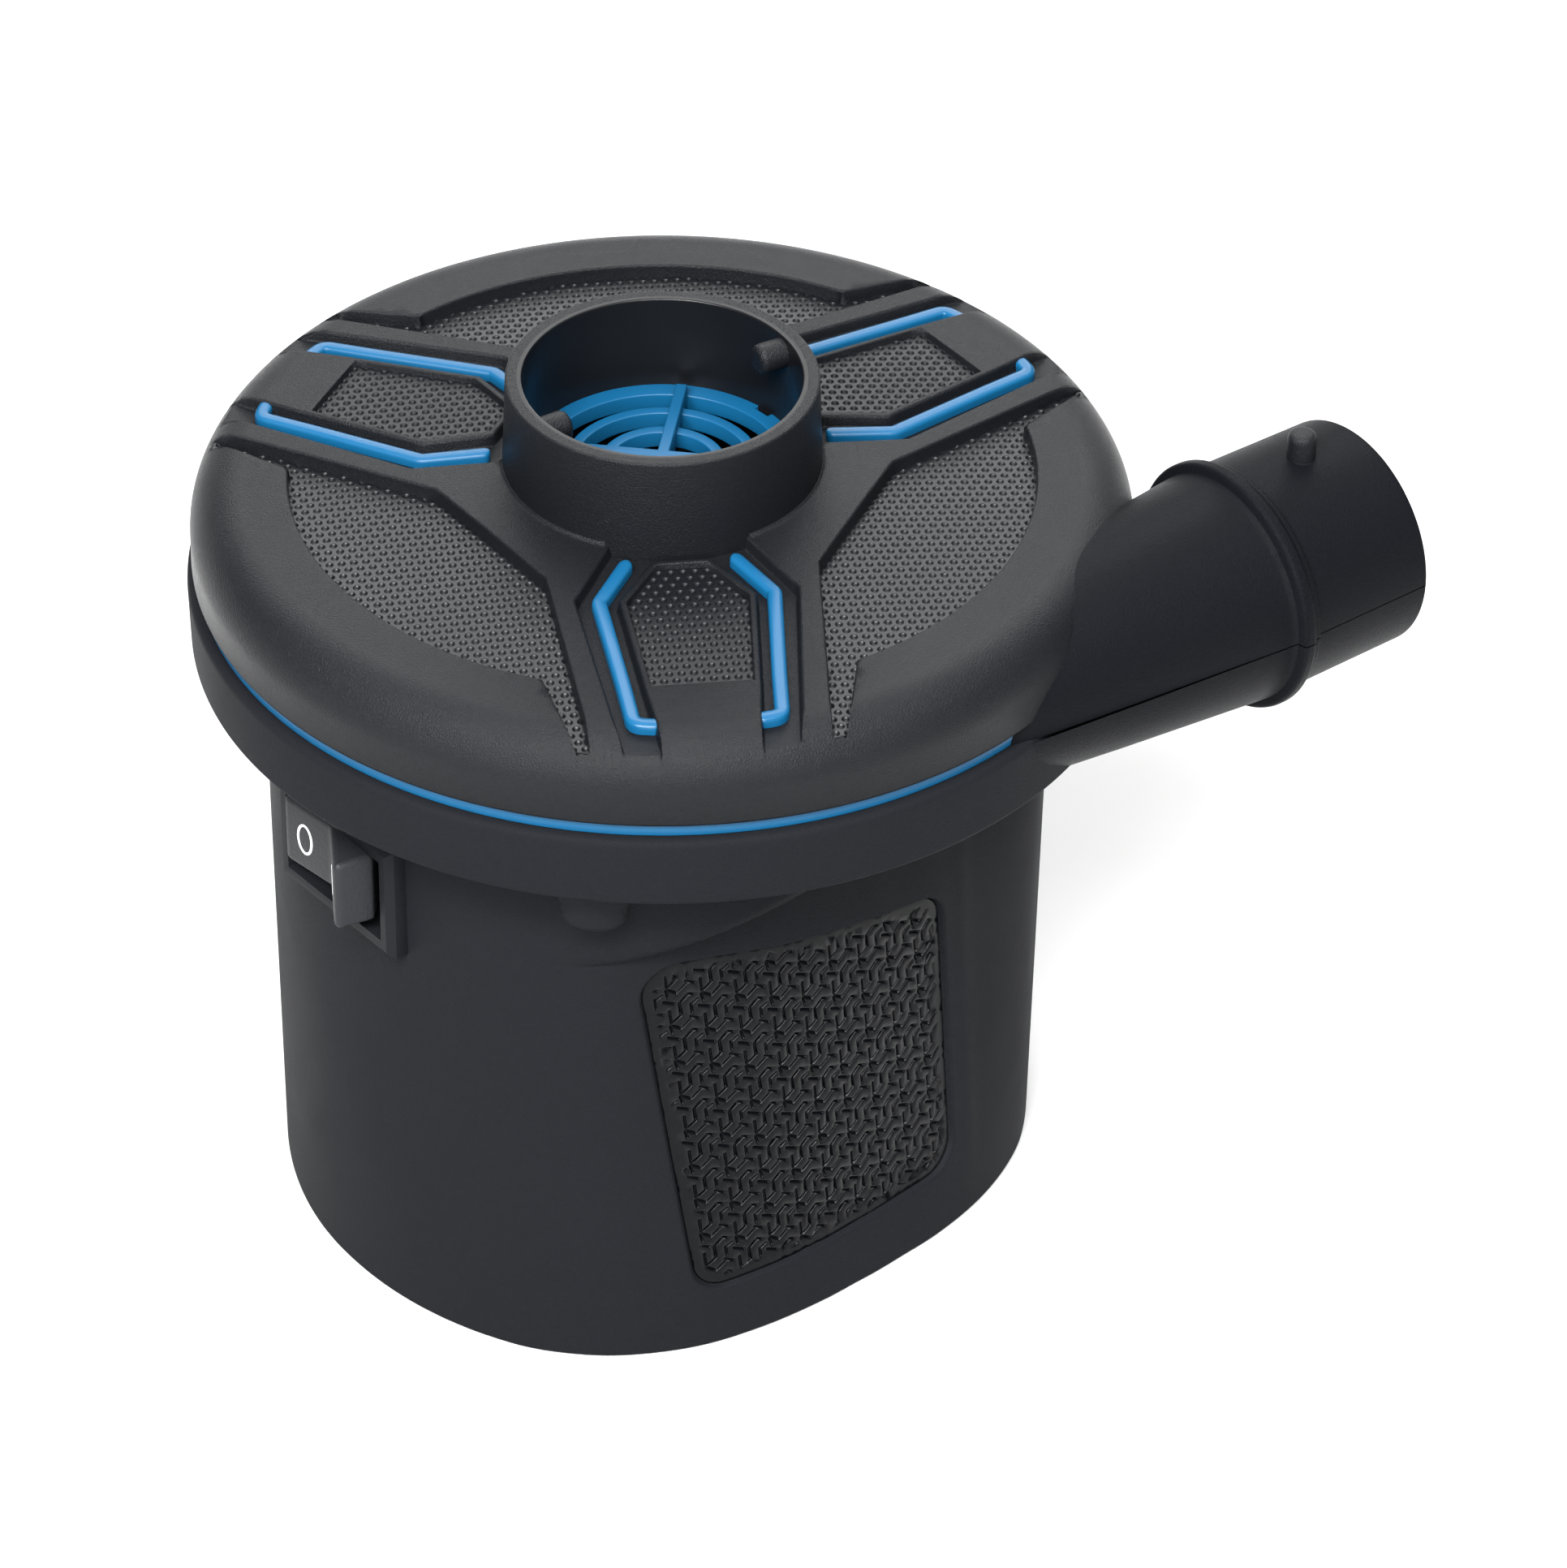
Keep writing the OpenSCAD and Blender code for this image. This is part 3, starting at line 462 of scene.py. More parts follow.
# outlines in the plan of one spoke along +x; y is the distance from the spoke's axis
ISLAND_HALF = [(19.5, 0), (19.5, 3.3), (26.2, 7.6), (42.3, 6.3), (51, 5.35), (58, 4.7)]
ISLAND_PAD_HALF = [(20.3, 0), (20.3, 2.75), (26.5, 6.75), (41.2, 5.6), (41.2, 0)]
ARM_PATH = [(14, 6.35), (16, 7.4), (25.5, 12.3), (51, 9.7), (58, 9.0)]
FIELD_INNER = [over_60((21.1, 15.2)), (21.1, 15.2), (50, 13.05), (60, 12.3)]
FIELD_OUTER = [(60, 12.6), (50, 14.65), (38.4, 17.2)] + arc(0, 0, 42.2, 24.1, 60, 16)

ISLAND = mirrored(ISLAND_HALF[1:])
ISLAND_PAD = mirrored(ISLAND_PAD_HALF[1:-1])
ARM = mirrored(ARM_PATH)
FIELD_HALF = FIELD_INNER[1:] + FIELD_OUTER
FIELD = np.array(FIELD_HALF + [over_60(p) for p in FIELD_HALF[-2::-1]])

UNDER_PAD = 0.5  # how far the cover floor lies below a dimpled pad
WALL, FOOT = -0.12, -0.34  # signed distances where a step's wall ends and where its foot fillet ends
EDGE_GROOVE, EDGE_PAD, EDGE_FIELD = 0.42, 0.18, 0.34  # rounding of the upper edges
FOOT_R = COLLAR_R + 0.43
CREASE = crease_radius(PAD_DEPTH)


def drop(d, depth, edge):
    """Depth below the top at signed distance d from an outline: rounded edge, wall and foot fillet."""
    u = np.clip((edge - d) / edge, 0, 1)
    rounding = edge * (1 - np.sqrt(1 - u**2))
    foot = np.clip((d - FOOT) / (WALL - FOOT), 0, 1)
    low = depth - 0.25 * foot**2
    wall = edge + (depth - 0.25 - edge) * np.clip(d / WALL, 0, 1)
    return np.where(d > 0, rounding, np.where(d > WALL, wall, low))


def region_distances(q):
    """Signed distances (negative inside) of the groove, the island pad and the dimpled field."""
    arm, island, pad, field = (polygon_distance(q, line) for line in (ARM, ISLAND, ISLAND_PAD, FIELD))
    return np.maximum(arm, -island), pad, field


def cover_height(q):
    """Height of the cover top over plan points of one spoke's upper half."""
    groove, pad, field = region_distances(q)
    r = np.hypot(*q.T)
    under = UNDER_PAD * smoothstep((CREASE - r) / 0.5)
    depth = np.maximum.reduce([drop(groove, GROOVE_DEPTH, EDGE_GROOVE),
                               drop(pad, ISLAND_DEPTH + UNDER_PAD, EDGE_PAD),
                               drop(field, PAD_DEPTH + under, EDGE_FIELD)])
    top, low = cover_z(r), cone_z(r) - depth
    soft = np.clip((depth - 0.3) / 0.5, 0, 1)
    z = np.minimum(top, low) * (1 - soft) + smooth_min(top, low, 0.2) * soft
    return np.where(depth > 1e-5, z, top)


def build_cover_top():
    """One sixth of the cover top is triangulated along its outlines, then turned and mirrored."""
    outline = arc(0, 0, FOOT_R - 0.05, 60, 0, 60) + arc(0, 0, PATTERN_R, 0, 60, 120)
    far_field = FIELD_OUTER + [over_60(FIELD_OUTER[-2])]
    fine, coarse = (0.6, 0.25), (0.4,)
    paths = []
    for edge, shares, foot, lines in (
            (EDGE_GROOVE, fine, (0.5 * (WALL + FOOT), FOOT), ((ARM_PATH, 1), (ISLAND_HALF, -1))),
            (EDGE_PAD, coarse, (FOOT,), ((ISLAND_PAD_HALF, 1),)),
            (EDGE_FIELD, fine, (0.5 * (WALL + FOOT), FOOT), ((FIELD_INNER, -1), (far_field, -1)))):
        for d in (edge, *[share * edge for share in shares], 0, WALL, *foot):
            paths += [densify(offset_path(line, side * d), 1.5) for line, side in lines]
    rings = [(r, 60) for r in (18.15, 18.25, 18.4, 18.6)] + [(19.6, 40)]
    rings += [(r, 30) for r in range(22, 41, 3)] + [(43, 40), (45.5, 60), (47, 80)]
    rings += [(r, 120) for r in np.arange(47.5, PATTERN_R - 0.1, 0.35)]
    rings += [(crease_radius(depth) + beside, 120) for depth in (GROOVE_DEPTH, PAD_DEPTH)
              for beside in (-0.25, -0.1, 0, 0.1, 0.25)]
    points = np.vstack([arc(0, 0, r, 0, 60, n) for r, n in rings])
    d = np.stack(region_distances(points), -1)
    clear = (np.abs(d - 0.5 * (EDGE_GROOVE + FOOT)) > 0.5 * (EDGE_GROOVE - FOOT) + 0.05).all(1)
    clear |= np.hypot(*points.T) > 47.2
    xy, faces = triangulate(outline, paths, points[clear])
    piece = np.column_stack([xy, cover_height(xy)])
    normals = slope_normals(cover_height, xy)
    verts, norms, tris = [], [], []
    for i, (spoke, side) in enumerate((spoke, side) for spoke in SPOKES for side in (1, -1)):
        tris.append(faces[:, ::side] + i * len(piece))
        verts.append(turned(piece * [1, side, 1], spoke))
        norms.append(turned(normals * [1, side, 1], spoke))
    add_mesh("cover_top", verts, tris, CHARCOAL, node="top_cover", normals=np.vstack(norms))


DIMPLE_PITCH, DIMPLE_R, DIMPLE_DEEP = 1.35, 0.47, 0.3
DIMPLE_ROW = DIMPLE_PITCH * math.sqrt(3) / 2


def dimple_centres(lo, hi):
    """Hexagonal lattice with rows along y and one centre on the axis."""
    return np.array([(i * DIMPLE_ROW, (j + 0.5 * (i % 2)) * DIMPLE_PITCH)
                     for i in range(int(lo[0] / DIMPLE_ROW) - 1, int(hi[0] / DIMPLE_ROW) + 2)
                     for j in range(int(lo[1] / DIMPLE_PITCH) - 2, int(hi[1] / DIMPLE_PITCH) + 3)])


def dimple_depth(q):
    """Depth of the nearest round hollow of the lattice at plan points."""
    best = np.full(len(q), 1e9)
    for odd in (0, 1):
        cx = np.round((q[:, 0] / DIMPLE_ROW - odd) / 2) * 2 + odd
        cy = np.round(q[:, 1] / DIMPLE_PITCH - 0.5 * odd) + 0.5 * odd
        best = np.minimum(best, np.hypot(q[:, 0] - cx * DIMPLE_ROW, q[:, 1] - cy * DIMPLE_PITCH))
    return DIMPLE_DEEP * np.clip(1 - (best / DIMPLE_R) ** 2, 0, 1)


def build_dimple_pads():
    """Dimpled floors of the fields and islands."""
    for kind, outline, depth, finish in (("field", FIELD, PAD_DEPTH, PAD_PLASTIC),
                                         ("island", ISLAND_PAD, ISLAND_DEPTH, ISLAND_PLASTIC)):
        closed = densify(np.vstack([outline, outline[:1]]), 0.7)[:-1]
        closed = closed * np.minimum(1, (CREASE - 0.02) / np.hypot(*closed.T))[:, None]
        closed = closed[np.linalg.norm(closed - np.roll(closed, 1, 0), axis=1) > 0.02]
        centres = dimple_centres(closed.min(0), closed.max(0))
        centres = centres[polygon_distance(centres, closed) < 0.25]

        def height(q, depth=depth):
            r = np.hypot(*q.T)
            return np.minimum(cone_z(r) - depth, cover_z(r) - 0.01) - dimple_depth(q)

        loops = []
        for radius, n in ((DIMPLE_R + 0.05, 12), (DIMPLE_R - 0.05, 12), (0.25, 8)):
            t = np.radians(np.arange(n) * 360 / n)
            loops.append((centres[:, None] + radius * np.stack([np.cos(t), np.sin(t)], -1)).reshape(-1, 2))
        points = np.vstack(loops + [centres])
        xy, faces = triangulate(closed, [], points[polygon_distance(points, closed) < -0.05])
        piece, normals = np.column_stack([xy, height(xy)]), slope_normals(height, xy, 0.05)
        for i, spoke in enumerate(SPOKES):
            add_mesh(f"{kind}_pad_{i}", turned(piece, spoke), faces, finish, normals=turned(normals, spoke))


def build_cover_sides():
    """Shoulder below the pattern, cover wall and its lower edge."""
    over = math.degrees(math.asin((PATTERN_R - (COVER_R - SHOULDER_R)) / SHOULDER_R))
    shoulder = arc(COVER_R - SHOULDER_R, SEAM + COVER_H - SHOULDER_R, SHOULDER_R, 90 - over, 0, 10)
    profile = shoulder + [(COVER_R, TRIM_TOP + 0.45), (COVER_R - 0.12, TRIM_TOP + 0.12),
                          (COVER_R - 0.4, TRIM_TOP), (TRIM_RI - 0.4, TRIM_TOP)]
    lathe("cover_wall", profile, CHARCOAL, segments=720, flip=True)


def build_trim_ring():
    """Coloured ring between cover and rim, open where the outlet neck passes."""
    low, high = SEAM + 0.05, TRIM_TOP - 0.03
    profile = rounded_profile([(TRIM_RI, low), (TRIM_RO, low), (TRIM_RO, high), (TRIM_RI, high)],
                              [0, 0.15, 0.15, 0], 4)
    pts = lathe_grid(profile, 700, RING_START, RING_STOP)
    n, cols = pts.shape[:2]
    first = np.arange(n) * cols
    caps = np.array([first, first[::-1] + cols - 1])
    add_mesh("trim_ring_edge", pts.reshape(-1, 3), [grid_faces(n, cols), caps], BLUE, node="trim_ring")


def build_collar():
    """Inlet collar with rounded rim and polished inner wall, and its two bayonet pins."""
    low = SEAM + 10.0
    outer = rounded_profile([(FOOT_R + 0.06, low), (FOOT_R, SEAM + 13.2), (COLLAR_R, COLLAR_TOP),
                             (COLLAR_RI + 0.6, COLLAR_TOP)], [0, 0, 0.35, 0], 6)
    lathe("collar_outer", outer, CHARCOAL, segments=360, flip=True, node="inlet_collar")
    inner = rounded_profile([(COLLAR_RI + 0.6, COLLAR_TOP), (COLLAR_RI, COLLAR_TOP), (COLLAR_RI, SEAM + 9.0),
                             (19.5, SEAM + 7.6)], [0, 0.35, 0.2, 0], 6)
    lathe("collar_inner", inner, CHARCOAL_GLOSS, segments=360, flip=True)
    for i, degrees in enumerate((-5.0, 175.0)):
        outwards = turned(np.array([1.0, 0, 0]), degrees)
        pin(f"collar_pin_{i}", outwards * (COLLAR_RI + 0.3) + [0, 0, COLLAR_TOP - 2.2], -outwards, 1.75, 3.7)


def pin(name, origin, direction, r, length):
    """A round peg with a softly domed tip and a small root fillet."""
    profile = rounded_profile([(r + 0.2, 0), (r, 0.35), (r, length), (0.0001, length + 0.05)],
                              [0, 0.2, r * 0.6, 0], 6)
    rotation = np.array(Vector((0, 0, 1)).rotation_difference(Vector(direction)).to_matrix())
    lathe(name, profile, CHARCOAL, segments=48, place=(rotation, np.array(origin)), flip=True)


# ---------------------------------------------------------------- nozzle
TO_X = np.array([[0, 0, 1], [0, 1, 0], [-1, 0, 0]], float)  # lathe axis z to world +X
SPLIT = 0.07  # half width of the moulding joint between the nozzle halves
NECK_START, BORE_START = 49.0, 39.5  # nothing of the nozzle is kept closer to the pump axis


def build_nozzle():
    """Outlet nozzle: two halves with a bead, the bore, a dark core behind the joint and two bayonet pins."""
    axis = np.array([0, OUTLET_Y, SEAM - NOZZLE_SINK])
    bead = [(0.2, 0), (0.35, 0), (1.35, 0.3), (1.35, 1.7), (0.75, 2.05), (0.7, 2.85), (0.15, 3.0)]
    tube = [(OUTLET_R + out, BEAD_X + x) for out, x in bead]
    tube += [(OUTLET_R, OUTLET_X), (OUTLET_RI + 0.5, OUTLET_X)]
    bends = [0, 9, 0, 0.1, 0.9, 0.9, 0.4, 0.25, 0.2, 0.4, 0]
    gap = math.degrees(SPLIT / OUTLET_R)
    for name, start, root, neck in (("nozzle_upper", 90, 9.9, 11.8), ("nozzle_lower", -90, 10.3, 12.0)):
        outline = rounded_profile([(root, 8.0), (neck, 27)] + tube, bends, 6)
        # the halves take the darker copy of the charcoal plastic: painted shade
        lathe(name, densify(outline, 1.0), NOZZLE_SHADED_PLASTIC, 180, start + gap, start + 180 - gap, (TO_X, axis),
              outside=NECK_START)
    bore = rounded_profile([(OUTLET_RI + 0.5, OUTLET_X), (OUTLET_RI, OUTLET_X), (OUTLET_RI, 46), (9.2, 2)],
                           [0, 0.4, 0, 0], 5)
    lathe("nozzle_bore", densify(bore, 1.0), CHARCOAL_GLOSS, 240, place=(TO_X, axis), outside=BORE_START)
    core = [(8.8, 8.0), (OUTLET_R - 0.45, BEAD_X), (OUTLET_R - 0.5, OUTLET_X - 0.2)]
    lathe("nozzle_core", densify(core, 1.0), BLACK, 160, place=(TO_X, axis), outside=NECK_START)
    for i, side in enumerate((1, -1)):
        pin(f"nozzle_pin_{i}", axis + [58.6, 0, side * (OUTLET_R - 0.3)], (0, 0, side), 1.65, 3.6)


# ---------------------------------------------------------------- casing
UNDER = SEAM - RIM_H
# distance of the casing wall from the axis at the base, by angle from +X; both sides are alike
BASE_OUTLINE = [(0, 45.5), (20, 45), (45, 43.3), (68, 40.3), (80, 39.1), (91, 39.1), (101.5, 40.1),
                (111, 41.5), (120, 43.2), (134, 45.2), (145, 46), (180, 45.7)]
# crease under the brow: angle, height of the crease, height of the slope above it
BROW = [(45, 70, 8), (60, 69, 12), (75, 67.4, 13), (90, 65.4, 9.5), (100, 63.8, 7), (120, 60.1, 3.2),
        (133, 58.3, 1.5), (140, 57.5, 1.5)]
BROW_R = 46.3
FAR_TRIM = 0.75  # the rear corner beside the switch is a little tighter
BASE_EDGE = 0.45
PAD_OUTLINE = [(-29, 57.5), (-22.1, 7.9), (15.7, 9.2), (13.15, 50.1)]
PAD_SINK, PAD_WELL = 0.6, 1.1  # pad face and well floor below the casing face
BEZEL_LOW, BEZEL_HIGH = node_box("switch_bezel")
SWITCH_TURN = math.atan2((BEZEL_LOW[1] + BEZEL_HIGH[1]) / 2, BEZEL_LOW[0])
SWITCH_Z = (BEZEL_LOW[2] + BEZEL_HIGH[2]) / 2
HOLE_Y, HOLE_Z = 10.1, 7.1  # half sizes of the switch opening in the casing
BOSS_SQUASH = 0.72  # the bosses are narrower outwards, so that they stay under the rim
UNROLL = 43.0  # millimetres per radian in the plan in which the casing wall is triangulated


ANGLES = np.arange(0, 180.01, 0.25)


def smooth_table(table, column, sigma):
    """One column of a table over 0..180 degrees as a smoothed curve over ANGLES."""
    v = np.interp(ANGLES, [t[0] for t in table], [t[column] for t in table])
    wide = np.concatenate([v[:0:-1], v, v[-2::-1]])
    k = np.exp(-0.5 * (np.arange(-40, 41) * 0.25 / sigma) ** 2)
    return np.convolve(wide, k / k.sum(), "same")[len(v) - 1:2 * len(v) - 1]


BASE_REACH = smooth_table(BASE_OUTLINE, 1, 2.2)
BROW_Z, BROW_RISE = smooth_table(BROW, 1, 2.0), smooth_table(BROW, 2, 2.0)


def body_reach(angle, z):
    """Radius of the casing at an angle (radians from +X) and height: grip face, brow and drafted sides."""
    a = np.abs(np.degrees(np.arctan2(np.sin(angle), np.cos(angle))))
    base = np.interp(a, ANGLES, BASE_REACH)
    base = base - FAR_TRIM * smoothstep((180 - a) / 40) * smoothstep(a / 40) * (np.sin(angle) > 0)
    grip = smoothstep((a - 42) / 22) * smoothstep((133 - a) / 18)
    grow = np.interp(a, (60, 120), (0.9, 0.5)) * z / UNDER
    low = base + grow * (1 - grip) - 0.03 * z * grip / np.maximum(np.abs(np.sin(angle)), 0.4)
    x = low * np.cos(angle)
    ridge = 16.3 + (60 - z) * 0.04
    low = low + 0.16 * np.exp(-0.5 * ((x - ridge) / 1.0) ** 2) * (z < 70) * smoothstep(z / 14)
    t = np.clip((z - np.interp(a, ANGLES, BROW_Z)) / np.interp(a, ANGLES, BROW_RISE), 0, 1)
    crisp = smoothstep((a - 80) / 20)
    rise = (1 - (1 - t) ** 2) * crisp + smoothstep(t) * (1 - crisp)
    high = low + np.maximum(BROW_R - low, 0) * smoothstep((a - 38) / 20) * smoothstep((142 - a) / 9)
    edge = np.clip((BASE_EDGE - z) / BASE_EDGE, 0, 1)
    return low + (high - low) * rise - BASE_EDGE * (1 - np.sqrt(1 - edge**2))


def pad_corners(radius=4.0, n=8):
    """Outline of a grip pad in x and z with rounded corners."""
    p = [np.array(q, float) for q in PAD_OUTLINE]
    out = []
    for i, c in enumerate(p):
        u, w = p[i - 1] - c, p[(i + 1) % 4] - c
        u, w = u / np.linalg.norm(u), w / np.linalg.norm(w)
        half = math.acos(float(u @ w)) / 2
        mid = c + (u + w) / np.linalg.norm(u + w) * radius / math.sin(half)
        start, end = (c + side * radius / math.tan(half) - mid for side in (u, w))
        a0 = math.degrees(math.atan2(start[1], start[0]))
        sweep = (math.degrees(math.atan2(end[1], end[0])) - a0 + 180) % 360 - 180
        out += arc(*mid, radius, a0, a0 + sweep, n)
    return np.array(out)


PAD_EDGE = pad_corners()
PAD_EDGE = densify(np.vstack([PAD_EDGE, PAD_EDGE[:1]]), 1.5)[:-1]


def closed_offset(loop, distance):
    """A closed loop, running either way round, grown outwards by a distance."""
    t = np.roll(loop, -1, 0) - np.roll(loop, 1, 0)
    t /= np.linalg.norm(t, axis=1)[:, None]
    area = (loop[:, 0] * np.roll(loop[:, 1], -1) - np.roll(loop[:, 0], -1) * loop[:, 1]).sum()
    n = np.stack([t[:, 1], -t[:, 0]], -1) * (1 if area > 0 else -1)
    return loop + n * distance


def face_angle(x, z):
    """Angle (negative, -Y side) at which the casing face has a given x and height."""
    a = np.full(len(x), -math.pi / 2)
    for _ in range(12):
        a = -np.arccos(np.clip(x / body_reach(a, z), -0.999, 0.999))
    return a


def casing_point(angle, z):
    """Point of the casing wall with the wells of the grip pads."""
    r = body_reach(angle, z)
    d = polygon_distance(np.stack([r * np.cos(angle), z], -1), PAD_EDGE)
    d = np.where(np.abs(np.sin(angle)) > 0.3, d, 9.0)
    return polar(r - drop(d, PAD_WELL, 0.32), angle, z)


def build_bucket():
    """Casing wall, triangulated over angle and height along the pad wells, brow and switch opening."""
    z_top = UNDER + 0.4
    outline = [(-math.pi * UNROLL, 0), (0, 0), (0, z_top), (-math.pi * UNROLL, z_top)]
    zs = np.concatenate([[0.04, 0.12, 0.22, 0.34, 0.45, 0.6, 0.9], np.linspace(1.5, z_top - 0.6, 92)])
    a, z = (g.reshape(-1) for g in np.meshgrid(np.radians(np.linspace(-180, 0, 301)), zs))
    d = polygon_distance(np.stack([body_reach(a, z) * np.cos(a), z], -1), PAD_EDGE)
    points = np.stack([a * UNROLL, z], -1)[np.abs(d) > 0.6]
    paths = []
    for off in (0.32, 0.2, 0.08, 0, WALL, -0.22, FOOT):
        loop = closed_offset(PAD_EDGE, off)
        loop = np.vstack([loop, loop[:1]])
        paths.append(np.stack([face_angle(loop[:, 0], loop[:, 1]) * UNROLL, loop[:, 1]], -1))
    brow = np.linspace(82, 141, 160)
    crease = np.interp(brow, ANGLES, BROW_Z)
    for off in (-0.12, 0, 0.12, 0.3):
        paths.append(np.stack([-np.radians(brow) * UNROLL, crease + off], -1))
    hole_low, hole_high = SWITCH_Z - HOLE_Z, SWITCH_Z + HOLE_Z
    for turn in (SWITCH_TURN, -SWITCH_TURN):
        for side in (1, -1):
            u = math.remainder(turn + side * math.asin(HOLE_Y / BROW_R), 2 * math.pi) * UNROLL
            if u < 0:
                paths.append([(u, hole_low), (u, hole_high)])
        for height in (hole_low, hole_high):
            paths.append([(-math.pi * UNROLL, height), (-math.radians(160) * UNROLL, height)])
    edge = np.radians(np.linspace(-180, 0, 400)[1:-1]) * UNROLL
    ends = [np.stack([edge, 0 * edge + height], -1) for height in (0.0, z_top)]
    uv, faces = triangulate(outline, paths, np.vstack([points] + ends))
    angle, z = uv[:, 0] / UNROLL, uv[:, 1]
    verts = np.vstack([casing_point(angle, z), casing_point(-angle, z)])
    normals = [surface_normals(casing_point, a, z, 0.03 / UNROLL, 0.03) for a in (angle, -angle)]
    faces = np.vstack([faces, faces[:, ::-1] + len(uv)])
    mid = turned(verts[faces].mean(1), -math.degrees(SWITCH_TURN))
    hole = (np.abs(mid[:, 1]) < HOLE_Y) & (np.abs(mid[:, 2] - SWITCH_Z) < HOLE_Z) & (mid[:, 0] > 30)
    add_mesh("casing_bucket", verts, faces[~hole], BODY_PLASTIC, node="body_shell",
             normals=np.vstack(normals))


def build_casing():
    """Bucket, base plate, rim and the four screw bosses under the rim."""
    build_bucket()
    ring = np.radians(np.arange(360))
    base = polar(body_reach(ring, 0 * ring), ring, 0)
    recess = base * [0.925, 0.925, 1] + [0, 0, 0.8]
    floor_plate = np.vstack([base, base * [0.93, 0.93, 1], recess, recess * [0.0003, 0.0003, 1]])
    add_mesh("casing_base", floor_plate, grid_faces(4, 360, wrap=True, flip=True), BODY_PLASTIC)
    rim = rounded_profile([(39.5, UNDER), (RIM_R - 0.2, UNDER), (RIM_R, SEAM), (RIM_R - 2.9, SEAM),
                           (RIM_R - 2.9, SEAM - 5)], [0, 0.7, 1.1, 0.2, 0], 6)
    lathe("casing_rim", rim, BODY_PLASTIC, segments=720)
    boss = rounded_profile([(8.0, 0.3), (5.2, -1.2), (4.1, -3.5), (3.6, -6.8), (0.01, -7.3)],
                           [0, 2.0, 2.0, 1.7, 0], 6)
    for i, degrees in enumerate((45, 135, 225, 315)):
        squashed = turned(np.diag([BOSS_SQUASH, 1, 1]), degrees).T
        lathe(f"screw_boss_{i}", boss, BODY_PLASTIC, 72,
              place=(squashed, turned(np.array([48.0, 0, UNDER]), degrees)))


# ---------------------------------------------------------------- grip pads
GRIP_LEAN = math.radians(6.5)
GRIP_ORIGIN = np.array([-6.0, 30.0])
CELL = np.array([(4.163, -0.044), (-2.369, -5.250)])  # the pattern repeats along the two columns
GRIP_LINES = [((0, 1.8), (0, 0.1)), ((0.1, -0.05), (1.35, 0.65)), ((1.28, 0.7), (1.28, 2.35)),
              ((1.35, 2.45), (2.4, 3.05)), ((2.4, 3.25), (3.1, 2.9)), ((2.65, 0.4), (2.65, 1.7)),
              ((2.75, 1.6), (3.5, 2.0)), ((-0.15, -0.4), (0, -1.5)), ((0.1, -0.4), (0.95, -1.1)),
              ((1.05, -1.3), (2.45, -0.4)), ((2.35, -0.05), (3.4, -0.8)), ((-0.6, -1.85), (0.65, -2.65))]
LINE_HALF, LINE_DEEP = 0.25, 0.45


def line_distance(uv):
    """Distance to the nearest line of the repeating grip pattern."""
    local = uv - np.floor(np.linalg.solve(CELL, uv.T)).T @ CELL.T
    best = np.full(len(uv), 1e9)
    for i in range(-2, 3):
        for j in range(-2, 3):
            for line in GRIP_LINES:
                a, b = np.array(line) + CELL @ np.array([i, j], float)
                t = np.clip((local - a) @ (b - a) / ((b - a) @ (b - a)), 0, 1)
                best = np.minimum(best, np.linalg.norm(local - a - t[:, None] * (b - a), axis=1))
    return best


def build_grip_pads():
    """Front and rear pads: smooth border round a field of joined grooves that look like stacked steps."""
    c, s = math.cos(GRIP_LEAN), math.sin(GRIP_LEAN)
    turn = np.array([[c, -s], [s, c]])
    paths, points = [], []
    for i in range(-12, 13):
        for j in range(-14, 15):
            shift = CELL @ np.array([i, j], float)
            if np.abs(shift).max() > 42:
                continue
            for line in GRIP_LINES:
                a, b = np.array(line) + shift
                if polygon_distance(GRIP_ORIGIN + np.array([a, b]) @ turn.T, PAD_EDGE).max() > -1.0:
                    continue
                t = (b - a) / np.linalg.norm(b - a) * LINE_HALF
                n = np.array([-t[1], t[0]])
                for w in (-1, -0.5, 0, 0.5, 1):
                    paths.append(GRIP_ORIGIN + np.array([a + n * w, b + n * w]) @ turn.T)
                for end, out in ((a, -t), (b, t)):
                    points += [end + out, end + (out + n) * 0.707, end + (out - n) * 0.707, end + out * 0.5]
    points = GRIP_ORIGIN + np.array(points) @ turn.T
    grid = np.stack(np.meshgrid(np.arange(-30, 18, 1.6), np.arange(6, 60, 1.6)), -1).reshape(-1, 2)
    rims = [closed_offset(PAD_EDGE, -inset) for inset in (0.2, 0.4, 0.8, 1.5)]
    points = np.vstack([points, grid] + rims)
    points = points[polygon_distance(points, PAD_EDGE) < -0.15]

    def pad_point(x, z):
        q = np.stack([x, z], -1)
        d = polygon_distance(q, PAD_EDGE)
        near = smoothstep(1 - line_distance((q - GRIP_ORIGIN) @ turn) / LINE_HALF)
        groove = LINE_DEEP * near * smoothstep((-d - 1.2) / 0.5)
        edge = np.clip((0.45 + d) / 0.38, 0, 1)
        rolled = 0.3 * (1 - np.sqrt(1 - edge**2 * 0.98))
        angle = face_angle(x, z)
        return polar(body_reach(angle, z) - PAD_SINK - groove - rolled, angle, z)

    xz, faces = triangulate(closed_offset(PAD_EDGE, -0.07), paths, points)
    pos, normals = pad_point(*xz.T), surface_normals(pad_point, *xz.T, 0.04, 0.04)
    for node, side in (("grip_pad_front", 1), ("grip_pad_rear", -1)):
        flip = np.array([1, side, 1])
        add_mesh(node + "_face", pos * flip, faces[:, ::side], GRIP_RUBBER, node=node, normals=normals * flip)


# ---------------------------------------------------------------- switch
BEZEL_OUT, PIVOT, SWING = 47.4, -1.5, math.radians(14)
ROCKER_SLOPE, ROCKER_W = math.tan(math.radians(20)), 7.6
ROCKER_Z, ROCKER_HALF = SWITCH_Z + 0.9, 4.5


